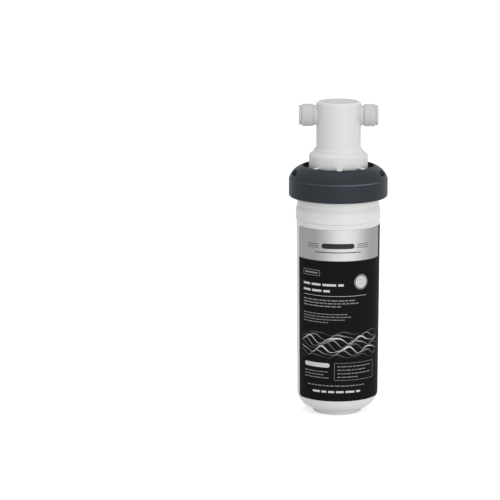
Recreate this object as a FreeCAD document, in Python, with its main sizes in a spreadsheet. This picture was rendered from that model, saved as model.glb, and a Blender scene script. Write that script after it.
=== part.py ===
import FreeCAD, Part
import math
import os
import Sketcher

# Under-sink water filter: a quick-change cartridge that hangs from a wall head.
# Origin: centre of the foot's underside. +Z up, ports along X, the label's face towards -Y.
# Inlet port at -X, outlet port at +X. All sizes in millimetres.

SIZES = {
    # Heights that stack up from the floor
    "foot_height": 4.5,
    "shell_height": 199.0,
    "band_height": 13.5,
    "neck_height": 11.5,
    "crown_height": 19.0,
    "seat_gap": 1.0,
    "bearing_flange_height": 5.0,
    "flange_height": 16.6,
    "shoulder_height": 3.9,
    "step_height": 1.4,
    "flare_height": 2.6,
    "tower_height": 47.0,
    # Cartridge shell
    "foot_radius": 25.2,
    "foot_round": 2.2,
    "foot_recess_radius": 17.0,
    "foot_recess_depth": 1.2,
    "shell_base_radius": 41.8,
    "shell_top_radius": 43.0,
    "shell_bottom_round": 17.5,
    "shell_wall": 2.8,
    "locating_ring_radius": 12.0,
    "locating_ring_wall": 2.0,
    "locating_ring_height": 7.0,
    # Cartridge end cap
    "band_overhang": 1.0,
    "band_draft": 0.5,
    "band_round": 1.2,
    "weld_lip_height": 9.0,
    "weld_lip_wall": 2.4,
    "weld_groove": 0.6,
    "neck_step": 1.3,
    "neck_slope": 2.4,
    "crown_step": 4.15,
    "crown_wall": 3.0,
    "crown_plate": 4.0,
    "crown_round": 1.5,
    "spigot_height": 28.0,
    "spigot_wall": 3.8,
    "nipple_height": 42.0,
    "nipple_bore_radius": 3.2,
    "raw_hole_radius": 2.2,
    "raw_hole_circle": 10.7,
    "raw_hole_count": 6,
    "outlet_socket_radius": 6.2,
    "outlet_socket_wall": 2.1,
    "outlet_socket_depth": 10.0,
    "outlet_socket_drop": 14.0,
    "lug_count": 3,
    "lug_width_angle": 22.0,
    "lug_height": 5.0,
    "lug_reach": 4.55,
    "key_width": 3.0,
    "key_height": 12.0,
    # Head
    "bearing_flange_radius": 40.4,
    "bearing_ledge": 10.1,
    "flange_round": 0.5,
    "flange_wall": 2.8,
    "flare_reach": 2.45,
    "tower_radius": 22.85,
    "tower_round": 2.5,
    "tower_wall": 4.1,
    "socket_wall": 3.0,
    "socket_depth": 28.0,
    "socket_lead_in": 1.0,
    "recess_depth": 15.0,
    "recess_rib": 2.0,
    "valve_floor": 4.0,
    "riser_radius": 7.2,
    "riser_bore_radius": 5.4,
    "port_drop": 14.2,
    "port_channel_radius": 3.6,
    "riser_cap": 0.4,
    "outlet_boss_radius": 6.6,
    "pointer_radius": 3.2,
    "pointer_overlap": 3.5,
    "pointer_height": 0.8,
    "finger_nose": 2.0,
    "stop_tab_width": 3.2,
    "stop_tab_overlap": 1.6,
    "stop_tab_angle": 41.0,
    # Head cap
    "cap_thickness": 4.0,
    "cap_recess": 0.5,
    "cap_ledge": 1.1,
    "cap_skirt_height": 2.0,
    "cap_skirt_wall": 1.6,
    "screw_boss_radius": 4.2,
    "screw_pilot_radius": 1.75,
    "screw_pilot_depth": 5.0,
    "screw_inset": 5.45,
    "gate_mark_radius": 2.0,
    "gate_mark_depth": 0.3,
    # Shut-off valve
    "valve_seat_margin": 0.6,
    "valve_hole_radius": 2.2,
    "valve_hole_count": 6,
    "prong_radius": 1.5,
    "valve_side_gap": 0.55,
    "valve_ring_plate": 1.4,
    "valve_ring_hub_wall": 3.3,
    "valve_ring_hub_height": 3.2,
    "valve_pad_height": 1.5,
    "valve_pad_inner_radius": 9.0,
    "spring_wire_radius": 0.6,
    "spring_mean_radius": 11.6,
    "spring_turns": 4,
    "spring_retainer_radius": 13.0,
    "spring_retainer_height": 1.4,
    "spring_retainer_drop": 8.0,
    # Ports
    "stub_radius": 10.3,
    "stub_reach": 3.2,
    "stub_spigot_radius": 8.2,
    "stub_spigot_length": 3.0,
    "tube_bore_radius": 4.85,
    "tube_stop_wall": 2.25,
    "nut_radius": 11.5,
    "nut_length": 11.5,
    "nut_round": 0.9,
    "nut_mouth_length": 1.15,
    "nut_mouth_radius": 6.4,
    "nut_recess_depth": 1.25,
    "seal_pocket_radius": 7.3,
    "tube_seal_section": 1.15,
    "seal_spacer_length": 0.9,
    "collet_sleeve_radius": 6.25,
    "collet_barb_radius": 7.0,
    "collet_barb_length": 1.5,
    "collet_flange_radius": 10.2,
    "collet_flange_length": 2.05,
    "collet_flange_round": 0.8,
    "collet_hub_radius": 10.0,
    "collet_travel": 1.0,
    "collet_slit": 0.7,
    "collet_slit_length": 3.2,
    "grip_ring_radius": 6.1,
    "grip_ring_bore_radius": 4.95,
    "grip_ring_thickness": 0.4,
    "grip_ring_notch_radius": 0.45,
    "grip_ring_notch_count": 8,
    # Locking collar
    "collar_wall_height": 16.4,
    "collar_bottom_round": 2.5,
    "collar_overhang": 2.0,
    "collar_lip_hold": 3.5,
    "collar_lip_height": 4.0,
    "collar_shoulder_curve": 21.5,
    "collar_wall": 3.0,
    "collar_shelf": 6.8,
    "collar_cavity_height": 13.5,
    "collar_cavity_slope": 2.5,
    "bayonet_floor": 3.5,
    "cartridge_drop": 6.0,
    "twist_angle": 90.0,
    "notch_margin_angle": 3.0,
    "stop_gap_angle": 2.0,
    "stop_angle": 3.0,
    "stop_height": 12.0,
    "ramp_setback": 0.4,
    "pocket_wall": 3.2,
    "pocket_rim": 2.55,
    "pocket_floor_drop": 11.7,
    "pocket_width_angle": 13.0,
    "pocket_pitch_angle": 17.0,
    "pocket_count": 3,
    "bearing_ring_thickness": 1.5,
    # Label
    "label_thickness": 0.25,
    "label_rise": 14.0,
    "label_top_gap": 5.3,
    "label_start_angle": 202.0,
    "label_sweep_angle": 273.0,
    # Filter element
    "pad_thickness": 1.6,
    "peg_height": 11.0,
    "peg_wall": 2.0,
    "element_top_gap": 2.0,
    "element_side_gap": 2.0,
    "core_radius": 9.5,
    "core_wall": 1.8,
    "core_hole_radius": 2.2,
    "core_hole_rows": 9,
    "membrane_thickness": 2.0,
    "wrap_thickness": 1.4,
    "element_cap_plate": 3.0,
    "element_cap_skirt": 6.0,
    "element_cap_wall": 1.5,
    "element_stub_height": 10.0,
    "element_stub_bore_radius": 3.4,
    # Seals
    "spigot_seal_section": 1.3,
    "spigot_seal_drop": 6.0,
    "nipple_seal_section": 0.9,
    "nipple_seal_drop": 4.0,
    "nipple_seal_spacing": 5.0,
    "element_seal_section": 0.8,
    "element_seal_drop": 3.5,
    # Clearances
    "weld_fit": 0.05,
    "label_fit": 0.1,
    "slide_fit": 0.2,
    "seal_fit": 0.03,
    "running_fit": 0.08,
    "lift_gap": 0.2,
    "turning_gap": 0.2,
    "lug_gap": 0.25,
    "lug_side_gap": 1.25,
    "neck_gap": 0.55,
    "bearing_gap": 0.8,
    "notch_gap": 0.4,
    "key_gap": 0.3,
}

SHEET_NAME = "Sizes"
RAMP_STEPS = 10
UP = FreeCAD.Vector(0, 0, 1)
OUTWARD = FreeCAD.Vector(1, 0, 0)

doc = FreeCAD.newDocument("UnderSinkFilter")
sheet = doc.addObject("Spreadsheet::Sheet", SHEET_NAME)
for row, (alias, number) in enumerate(SIZES.items(), start=1):
    sheet.set(f"A{row}", alias.replace("_", " "))
    sheet.set(f"B{row}", str(number))
    sheet.setAlias(f"B{row}", alias)
doc.recompute()


class Size:
    """A number together with the sheet expression that it comes from."""

    def __init__(self, value, text):
        self.value = value
        self.text = text

    def __add__(self, other):
        other = as_size(other)
        return Size(self.value + other.value, f"({self.text} + {other.text})")

    def __sub__(self, other):
        other = as_size(other)
        return Size(self.value - other.value, f"({self.text} - {other.text})")

    def __mul__(self, other):
        other = as_size(other)
        return Size(self.value * other.value, f"({self.text} * {other.text})")

    def __truediv__(self, other):
        other = as_size(other)
        return Size(self.value / other.value, f"({self.text} / {other.text})")

    def __neg__(self):
        return Size(-self.value, f"(0 - {self.text})")

    def root(self):
        return Size(math.sqrt(self.value), f"sqrt({self.text})")

    def __radd__(self, other):
        return as_size(other) + self

    def __rsub__(self, other):
        return as_size(other) - self

    def __rmul__(self, other):
        return as_size(other) * self


def as_size(number):
    """A plain number becomes a Size whose expression is that number."""
    if isinstance(number, Size):
        return number
    return Size(float(number), repr(round(float(number), 9)))


def size(alias):
    """The Size that a cell of the sheet holds."""
    return Size(float(getattr(sheet, alias)), f"{SHEET_NAME}.{alias}")


def larger(one, other):
    """The larger of two Sizes."""
    return Size(max(one.value, other.value), f"max({one.text}; {other.text})")


def smaller(one, other):
    """The smaller of two Sizes."""
    return Size(min(one.value, other.value), f"min({one.text}; {other.text})")


def bind(thing, prop, amount):
    """Ties a property of a document object to a Size."""
    thing.setExpression(prop, as_size(amount).text)


# Levels above the floor, each from the heights below it
z_shell_base = size("foot_height")
z_shell_floor = z_shell_base + size("shell_wall")
z_bend_top = z_shell_base + size("shell_bottom_round")
z_joint = z_shell_base + size("shell_height")
z_neck = z_joint + size("band_height")
z_crown = z_neck + size("neck_height")
z_crown_top = z_crown + size("crown_height")
z_crown_plate = z_crown_top - size("crown_plate")
z_outlet_boss = z_crown_plate - size("outlet_socket_drop")
z_spigot_top = z_crown_top + size("spigot_height")
z_nipple_top = z_crown_top + size("nipple_height")
z_head_base = z_crown_top + size("seat_gap")
z_bearing_top = z_head_base + size("bearing_flange_height")
z_flange_top = z_bearing_top + size("flange_height")
z_step_base = z_flange_top + size("shoulder_height")
z_step_top = z_step_base + size("step_height")
z_tower = z_step_top + size("flare_height")
z_head_top = z_tower + size("tower_height")
z_port = z_head_top - size("port_drop")
z_socket_top = z_head_base + size("socket_depth")
z_valve_seat = z_socket_top + size("valve_floor")
z_prong_top = z_valve_seat + size("cartridge_drop")
z_valve_pad = z_prong_top + size("lift_gap")
z_valve_ring = z_valve_pad + size("valve_pad_height")
z_spring_seat = z_valve_ring + size("valve_ring_plate")
z_retainer_top = z_port - size("spring_retainer_drop")
z_retainer_base = z_retainer_top - size("spring_retainer_height")
z_cap_top = z_head_top - size("cap_recess")
z_cap_base = z_cap_top - size("cap_thickness")
z_cap_skirt = z_cap_base - size("cap_skirt_height")
z_collar_base = z_crown - size("collar_overhang")
z_bayonet = z_collar_base + size("bayonet_floor")
z_lug = z_bayonet + size("cartridge_drop") + size("lug_gap")
z_lip_base = z_bearing_top + size("bearing_ring_thickness") + size("turning_gap")
z_lip_top = z_lip_base + size("collar_lip_height")
z_pointer = z_lip_top + size("turning_gap")
z_peg = z_shell_floor + size("pad_thickness")
z_element_base = z_peg + size("peg_height")
z_media_base = z_element_base + size("element_cap_plate")
z_element_top = z_outlet_boss - size("element_top_gap")
z_media_top = z_element_top - size("element_cap_plate")
z_stub_top = z_element_top + size("element_stub_height")
z_label_base = z_shell_base + size("label_rise")
z_label_top = z_joint - size("label_top_gap")

# Radii and stations that follow from a neighbour's size and a named clearance
band_radius = size("shell_top_radius") + size("band_overhang")
band_top_radius = band_radius - size("band_draft")
neck_radius = band_top_radius - size("neck_step")
crown_radius = neck_radius - size("crown_step")
lug_radius = neck_radius + size("lug_reach")
collar_bore_radius = size("bearing_flange_radius") + size("bearing_gap")
collar_inner_radius = larger(lug_radius + size("lug_side_gap"), collar_bore_radius + size("collar_shelf"))
collar_radius = collar_inner_radius + size("collar_wall")
collar_opening_radius = size("bearing_flange_radius") - size("collar_lip_hold")
collar_neck_radius = neck_radius + size("neck_gap")
flange_radius = size("bearing_flange_radius") - size("bearing_ledge")
step_radius = size("tower_radius") + size("flare_reach")
chamber_radius = size("tower_radius") - size("tower_wall")
cap_bore_radius = chamber_radius + size("cap_ledge")
valve_ring_radius = chamber_radius - size("valve_side_gap")
valve_hole_circle = valve_ring_radius - size("valve_seat_margin") - size("valve_hole_radius")
spigot_radius = valve_hole_circle + size("spigot_wall") / 2
spigot_bore_radius = spigot_radius - size("spigot_wall")
socket_radius = spigot_radius + size("slide_fit")
recess_inner_radius = socket_radius + size("socket_wall")
recess_outer_radius = flange_radius - size("flange_wall")
nipple_radius = size("riser_bore_radius") - size("slide_fit")
spigot_seal_circle = socket_radius - size("seal_fit") - size("spigot_seal_section")
nipple_seal_circle = size("riser_bore_radius") - size("seal_fit") - size("nipple_seal_section")
valve_bore_radius = size("riser_radius") + size("running_fit")
membrane_radius = size("core_radius") + size("weld_fit") + size("membrane_thickness")
element_room = smaller(crown_radius - size("crown_wall"), size("shell_base_radius") - size("shell_wall"))
element_radius = element_room - size("element_side_gap")
wrap_radius = element_radius - size("element_cap_wall") - size("weld_fit")
block_radius = wrap_radius - size("wrap_thickness") - size("weld_fit")
element_stub_radius = size("outlet_socket_radius") - size("slide_fit")
element_seal_circle = size("outlet_socket_radius") - size("seal_fit") - size("element_seal_section")
stub_end = size("tower_radius") + size("stub_reach")
tube_stop = chamber_radius + size("tube_stop_wall")
nut_start = stub_end + size("weld_fit")
nut_end = nut_start + size("nut_length")
nut_recess = nut_end - size("nut_recess_depth")
nut_mouth = nut_recess - size("nut_mouth_length")
spigot_end = stub_end + size("stub_spigot_length") + size("weld_fit")
seal_station = spigot_end + size("tube_seal_section")
spacer_start = seal_station + size("tube_seal_section") + size("weld_fit")
barb_end = nut_mouth - size("turning_gap")
barb_start = barb_end - size("collet_barb_length")
collet_flange_start = nut_end + size("collet_travel") + size("weld_fit")
collet_end = collet_flange_start + size("collet_flange_length")
collet_hub_start = nut_recess + size("collet_travel") + size("weld_fit")
grip_ring_start = barb_start + (size("collet_barb_length") - size("grip_ring_thickness")) / 2
lug_rise = size("cartridge_drop") * size("lug_width_angle") / size("twist_angle")


def arc_edge(start, end, radius, left):
    """An arc from start to end that bulges to the left or right of the way it goes.

    Returns the geometry and the sketch vertex numbers of its start and its end.
    """
    run_x = end[0] - start[0]
    run_y = end[1] - start[1]
    chord = math.hypot(run_x, run_y)
    depth = math.sqrt(max(radius ** 2 - (chord / 2) ** 2, 0.0))
    side = -1 if left else 1
    centre_x = (start[0] + end[0]) / 2 - side * run_y / chord * depth
    centre_y = (start[1] + end[1]) / 2 + side * run_x / chord * depth
    angle_start = math.atan2(start[1] - centre_y, start[0] - centre_x)
    angle_end = math.atan2(end[1] - centre_y, end[0] - centre_x)
    circle = Part.Circle(FreeCAD.Vector(centre_x, centre_y, 0), UP, radius)
    if left:
        return Part.ArcOfCircle(circle, angle_end, angle_start), 2, 1
    return Part.ArcOfCircle(circle, angle_start, angle_end), 1, 2


def outline(body, label, role, corners):
    """A closed sketch on one of the body's own origin planes.

    Each corner is (x, y), or (x, y, radius, side) where the edge that arrives there is an arc
    which bulges to that side, "left" or "right". Each corner and radius is tied to the sheet.
    """
    sketch = body.newObject("Sketcher::SketchObject", label)
    plane = [item for item in body.Origin.OriginFeatures if item.Role == role][0]
    sketch.AttachmentSupport = [(plane, "")]
    sketch.MapMode = "FlatFace"
    points = [(as_size(corner[0]), as_size(corner[1])) for corner in corners]
    ends = []
    for index, corner in enumerate(corners):
        start = points[index - 1]
        end = points[index]
        start_xy = (start[0].value, start[1].value)
        end_xy = (end[0].value, end[1].value)
        if len(corner) == 2:
            edge = Part.LineSegment(FreeCAD.Vector(*start_xy, 0), FreeCAD.Vector(*end_xy, 0))
            ends.append((1, 2))
        else:
            edge, first, last = arc_edge(start_xy, end_xy, as_size(corner[2]).value, corner[3] == "left")
            ends.append((first, last))
        sketch.addGeometry(edge, False)
    for index in range(len(corners)):
        before = index - 1 if index else len(corners) - 1
        sketch.addConstraint(
            Sketcher.Constraint("Coincident", before, ends[before][1], index, ends[index][0]))
    for index, (x, y) in enumerate(points):
        for kind, amount in (("DistanceX", x), ("DistanceY", y)):
            number = sketch.addConstraint(
                Sketcher.Constraint(kind, -1, 1, index, ends[index][1], amount.value))
            bind(sketch, f"Constraints[{number}]", amount)
        if len(corners[index]) > 2:
            radius = as_size(corners[index][2])
            number = sketch.addConstraint(Sketcher.Constraint("Radius", index, radius.value))
            bind(sketch, f"Constraints[{number}]", radius)
    return sketch


def turned(label, corners, about="V_Axis", sweep=None):
    """A body turned from an outline, given as (radius, height) or, about X, as (along, radius)."""
    body = doc.addObject("PartDesign::Body", label)
    body.Label = label
    sketch = outline(body, f"{label}_outline", "XZ_Plane", corners)
    turn = body.newObject("PartDesign::Revolution", f"{label}_turned")
    turn.Profile = sketch
    turn.ReferenceAxis = (sketch, [about])
    turn.Angle = 360
    if sweep is not None:
        bind(turn, "Angle", sweep)
    sketch.Visibility = False
    return body


def ring(label, inner, outer, bottom, top):
    """A plain turned ring about Z."""
    return turned(label, [(inner, bottom), (outer, bottom), (outer, top), (inner, top)])


def rod(label, radius, length, x=0, y=0, z=0, along=UP, angle=0):
    """A cylinder from a point along Z or X, turned about the Z axis by an angle in degrees."""
    piece = doc.addObject("Part::Cylinder", label)
    piece.Label = label
    bind(piece, "Radius", radius)
    bind(piece, "Height", length)
    turn = FreeCAD.Rotation(UP, angle) * FreeCAD.Rotation(UP, along)
    piece.Placement = FreeCAD.Placement(FreeCAD.Vector(0, 0, 0), turn)
    cosine = math.cos(math.radians(angle))
    sine = math.sin(math.radians(angle))
    bind(piece, "Placement.Base.x", as_size(x) * cosine - as_size(y) * sine)
    bind(piece, "Placement.Base.y", as_size(x) * sine + as_size(y) * cosine)
    bind(piece, "Placement.Base.z", z)
    return piece


def block(label, low, high, angle=0):
    """A box between two corners, turned about the Z axis by an angle in degrees."""
    piece = doc.addObject("Part::Box", label)
    piece.Label = label
    for side, start, end in zip(("Length", "Width", "Height"), low, high):
        bind(piece, side, as_size(end) - start)
    piece.Placement = FreeCAD.Placement(FreeCAD.Vector(0, 0, 0), FreeCAD.Rotation(UP, angle))
    cosine = math.cos(math.radians(angle))
    sine = math.sin(math.radians(angle))
    bind(piece, "Placement.Base.x", as_size(low[0]) * cosine - as_size(low[1]) * sine)
    bind(piece, "Placement.Base.y", as_size(low[0]) * sine + as_size(low[1]) * cosine)
    bind(piece, "Placement.Base.z", low[2])
    return piece


def torus(label, circle, section, station, along=UP):
    """An O-ring about Z at a height, or about X at a distance from the tower's axis."""
    piece = doc.addObject("Part::Torus", label)
    piece.Label = label
    bind(piece, "Radius1", circle)
    bind(piece, "Radius2", section)
    if along == UP:
        bind(piece, "Placement.Base.z", station)
    else:
        piece.Placement = FreeCAD.Placement(FreeCAD.Vector(0, 0, 0), FreeCAD.Rotation(UP, along))
        bind(piece, "Placement.Base.x", station)
    return piece


def joined(label, pieces):
    """One solid fused from several."""
    whole = doc.addObject("Part::MultiFuse", label)
    whole.Label = label
    whole.Shapes = pieces
    whole.Refine = True
    return whole


def grouped(label, pieces):
    """Several separate solids in one sub-part."""
    whole = doc.addObject("Part::Compound", label)
    whole.Label = label
    whole.Links = pieces
    return whole


def carved(label, base, tools):
    """A solid with tools cut out of it."""
    result = doc.addObject("Part::Cut", label)
    result.Label = label
    result.Base = base
    result.Tool = tools[0] if len(tools) == 1 else joined(f"{label}_cuts", tools)
    result.Refine = True
    return result


def sector_face(inner, outer, bottom, top, angle):
    """A radial rectangle that stands at an angle about Z."""
    cosine = math.cos(math.radians(angle))
    sine = math.sin(math.radians(angle))
    corners = [(inner, bottom), (outer, bottom), (outer, top), (inner, top), (inner, bottom)]
    return Part.makePolygon([FreeCAD.Vector(r * cosine, r * sine, z) for r, z in corners])


def helical_block(inner, outer, start_angle, sweep, bottom, top, bottom_rise, top_rise=None):
    """A block of a ring whose underside and top climb steadily with the angle."""
    if top_rise is None:
        top_rise = bottom_rise
    faces = []
    for step in range(RAMP_STEPS + 1):
        share = step / RAMP_STEPS
        angle = start_angle + sweep * share
        faces.append(sector_face(inner, outer, bottom + bottom_rise * share, top + top_rise * share, angle))
    return Part.makeLoft(faces, True, True)


def shaped(label, shape):
    """A document object that holds a shape made with Part's own functions."""
    piece = doc.addObject("Part::Feature", label)
    piece.Label = label
    piece.Shape = shape
    return piece


def coil_wire(radius, base, pitch, turns):
    """A coil's centre line: half-turn arcs that meet tangent to one another."""
    edges = []
    for half in range(2 * turns):
        side = 1 if half % 2 == 0 else -1
        start = FreeCAD.Vector(side * radius, 0, base + pitch * half / 2)
        end = FreeCAD.Vector(-side * radius, 0, base + pitch * (half + 1) / 2)
        middle = (start + end) / 2 + FreeCAD.Vector(0, side * (end - start).Length / 2, 0)
        edges.append(Part.Arc(start, middle, end).toShape())
    return Part.Wire(edges)


def shell_radius(height):
    """The shell's outer radius at a height above the floor, on the drafted wall or the round below it."""
    slope = (size("shell_top_radius") - size("shell_base_radius")) / (z_joint - z_bend_top)
    if height.value >= z_bend_top.value:
        return size("shell_base_radius") + slope * (height - z_bend_top)
    return round_radius(size("shell_bottom_round"), height)


def round_radius(bend, height):
    """The radius at a height on a round that shares its centre with the shell's bottom round."""
    centre = size("shell_base_radius") - size("shell_bottom_round")
    rise = z_bend_top - height
    return centre + (bend * bend - rise * rise).root()


def make_shell():
    """The white sump: drafted wall, round bottom, foot, and a ring inside that centres the element."""
    wall = size("shell_wall")
    bend = size("shell_bottom_round")
    foot = size("foot_radius")
    edge = size("foot_round")
    recess = size("foot_recess_radius")
    base = size("shell_base_radius")
    overhang = foot - (base - bend)
    foot_top = z_bend_top - (bend * bend - overhang * overhang).root()
    ring_inner = size("locating_ring_radius")
    ring_outer = ring_inner + size("locating_ring_wall")
    ring_top = z_shell_floor + size("locating_ring_height")
    return turned("cartridge_shell", [
        (0, size("foot_recess_depth")),
        (recess, size("foot_recess_depth")),
        (recess, 0),
        (foot - edge, 0),
        (foot, edge, edge, "right"),
        (foot, foot_top),
        (base, z_bend_top, bend, "right"),
        (size("shell_top_radius"), z_joint),
        (size("shell_top_radius") - wall, z_joint),
        (base - wall, z_bend_top),
        (base - bend, z_shell_floor, bend - wall, "left"),
        (ring_outer, z_shell_floor),
        (ring_outer, ring_top),
        (ring_inner, ring_top),
        (ring_inner, z_shell_floor),
        (0, z_shell_floor),
    ])


def make_end_cap():
    """The cartridge's top: band, neck, crown, spigot, outlet nipple, lugs, keys and valve prongs."""
    wall = size("crown_wall")
    crown = crown_radius
    crown_round = size("crown_round")
    band_round = size("band_round")
    groove_radius = size("shell_top_radius") - size("weld_groove")
    z_lip = z_joint - size("weld_lip_height")
    lip_outer = shell_radius(z_lip) - size("shell_wall") - size("weld_fit")
    lip_inner = lip_outer - size("weld_lip_wall")
    z_band = z_joint + size("weld_groove")
    socket = size("outlet_socket_radius")
    boss = socket + size("outlet_socket_wall")
    bore = size("nipple_bore_radius")
    pieces = [turned("end_cap_turning", [
        (bore, z_outlet_boss + size("outlet_socket_depth")),
        (socket, z_outlet_boss + size("outlet_socket_depth")),
        (socket, z_outlet_boss),
        (boss, z_outlet_boss),
        (boss, z_crown_plate),
        (crown - wall, z_crown_plate),
        (crown - wall, z_crown - wall),
        (lip_inner, z_neck),
        (lip_inner, z_lip),
        (lip_outer, z_lip),
        (lip_outer, z_joint + size("weld_fit")),
        (groove_radius, z_joint + size("weld_fit")),
        (groove_radius, z_band),
        (band_radius - band_round, z_band),
        (band_radius, z_band + band_round, band_round, "right"),
        (band_top_radius, z_neck - size("neck_slope")),
        (neck_radius, z_neck),
        (neck_radius, z_crown),
        (crown, z_crown),
        (crown, z_crown_top - crown_round),
        (crown - crown_round, z_crown_top, crown_round, "right"),
        (spigot_radius, z_crown_top),
        (spigot_radius, z_spigot_top),
        (spigot_bore_radius, z_spigot_top),
        (spigot_bore_radius, z_crown_top),
        (nipple_radius, z_crown_top),
        (nipple_radius, z_nipple_top),
        (bore, z_nipple_top),
    ])]
    lug_count = int(size("lug_count").value)
    half_rise = lug_rise.value / 2
    lugs = []
    for index in range(lug_count):
        lugs.append(helical_block(
            crown.value - wall.value / 2, lug_radius.value,
            360.0 * index / lug_count - size("lug_width_angle").value / 2, size("lug_width_angle").value,
            z_lug.value + half_rise, z_lug.value + half_rise + size("lug_height").value,
            -lug_rise.value))
    pieces.append(shaped("end_cap_lugs", Part.makeCompound(lugs)))
    for index in range(lug_count):
        pieces.append(rod(
            f"end_cap_prong_{index}", size("prong_radius"), z_prong_top - z_spigot_top,
            x=valve_hole_circle, z=z_spigot_top, angle=360.0 * index / lug_count))
    key_start = recess_inner_radius + size("key_gap") * 2
    key_end = recess_outer_radius - size("key_gap") * 2
    for name, angle in (("front", -90), ("rear", 90)):
        pieces.append(block(
            f"end_cap_{name}_key",
            (key_start, size("key_width") / -2, z_crown_top),
            (key_end, size("key_width") / 2, z_crown_top + size("key_height")), angle=angle))
    cuts = []
    hole_count = int(size("raw_hole_count").value)
    for index in range(hole_count):
        cuts.append(rod(
            f"end_cap_raw_hole_{index}", size("raw_hole_radius"), size("crown_plate") * 2,
            x=size("raw_hole_circle"), z=z_crown_plate - size("crown_plate") / 2,
            angle=360.0 * (index + 0.5) / hole_count))
    cuts.append(torus(
        "end_cap_spigot_groove", spigot_seal_circle, size("spigot_seal_section"),
        z_spigot_top - size("spigot_seal_drop")))
    for index in range(2):
        cuts.append(torus(
            f"end_cap_nipple_groove_{index}", nipple_seal_circle, size("nipple_seal_section"),
            z_nipple_top - size("nipple_seal_drop") - size("nipple_seal_spacing") * index))
    return carved("cartridge_end_cap", joined("end_cap_solid", pieces), cuts)


def make_cartridge_seals():
    """The O-rings of the spigot and the outlet nipple, at their fitted size."""
    spigot = torus(
        "spigot_seal", spigot_seal_circle, size("spigot_seal_section"),
        z_spigot_top - size("spigot_seal_drop"))
    rings = []
    for index in range(2):
        rings.append(torus(
            f"nipple_seal_{index}", nipple_seal_circle, size("nipple_seal_section"),
            z_nipple_top - size("nipple_seal_drop") - size("nipple_seal_spacing") * index))
    return [spigot, grouped("nipple_seals", rings)]


def make_label():
    """The printed wrap round the drafted shell, open at the back on the inlet's side."""
    low = z_label_base
    high = z_label_top
    inner_bend = size("shell_bottom_round") + size("label_fit")
    outer_bend = inner_bend + size("label_thickness")
    inner = size("label_fit")
    outer = size("label_fit") + size("label_thickness")
    base = size("shell_base_radius")
    corners = [
        (round_radius(inner_bend, low), low),
        (round_radius(outer_bend, low), low),
        (base + outer, z_bend_top, outer_bend, "right"),
        (shell_radius(high) + outer, high),
        (shell_radius(high) + inner, high),
        (base + inner, z_bend_top),
    ]
    corners[0] = corners[0] + (inner_bend, "left")
    label = turned("cartridge_label", corners, sweep=size("label_sweep_angle"))
    label.Placement = FreeCAD.Placement(
        FreeCAD.Vector(0, 0, 0), FreeCAD.Rotation(UP, size("label_start_angle").value))
    return label


def make_element():
    """The filter element inside the sump: end caps, core, membrane, carbon block, wrap, seal, pad."""
    fit = size("weld_fit")
    core = size("core_radius")
    bore = core - size("core_wall")
    skirt_inner = element_radius - size("element_cap_wall")
    skirt_outer = element_radius
    peg_outer = size("locating_ring_radius") - size("slide_fit")
    peg_inner = peg_outer - size("peg_wall")
    stub_bore = size("element_stub_bore_radius")
    pad = ring("element_pad", size("element_stub_bore_radius"), peg_outer - fit, z_shell_floor, z_peg)
    bottom = turned("element_bottom_cap", [
        (0, z_element_base),
        (peg_inner, z_element_base),
        (peg_inner, z_peg),
        (peg_outer, z_peg),
        (peg_outer, z_element_base),
        (skirt_outer, z_element_base),
        (skirt_outer, z_media_base + size("element_cap_skirt")),
        (skirt_inner, z_media_base + size("element_cap_skirt")),
        (skirt_inner, z_media_base),
        (0, z_media_base),
    ])
    top = carved("element_top_cap", turned("element_top_turning", [
        (stub_bore, z_media_top),
        (skirt_inner, z_media_top),
        (skirt_inner, z_media_top - size("element_cap_skirt")),
        (skirt_outer, z_media_top - size("element_cap_skirt")),
        (skirt_outer, z_element_top),
        (element_stub_radius, z_element_top),
        (element_stub_radius, z_stub_top),
        (stub_bore, z_stub_top),
    ]), [torus(
        "element_seal_groove", element_seal_circle, size("element_seal_section"),
        z_stub_top - size("element_seal_drop"))])
    seal = torus(
        "element_seal", element_seal_circle, size("element_seal_section"),
        z_stub_top - size("element_seal_drop"))
    rows = int(size("core_hole_rows").value)
    spacing = (z_media_top - z_media_base) / (rows + 1)
    drills = []
    for row in range(rows):
        for angle in (0, 90):
            drills.append(rod(
                f"core_hole_{row}_{angle}", size("core_hole_radius"), core * 4, x=core * -2,
                z=z_media_base + spacing * (row + 1), along=OUTWARD, angle=angle + 45 * (row % 2)))
    tube = carved("element_core", ring("core_tube", bore, core, z_media_base, z_media_top), drills)
    membrane = ring("membrane_sleeve", core + fit, membrane_radius, z_media_base, z_media_top)
    carbon = ring("carbon_block", membrane_radius + fit, block_radius, z_media_base, z_media_top)
    wrap = ring("prefilter_wrap", block_radius + fit, wrap_radius, z_media_base, z_media_top)
    return [pad, bottom, top, seal, tube, membrane, carbon, wrap]


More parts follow.
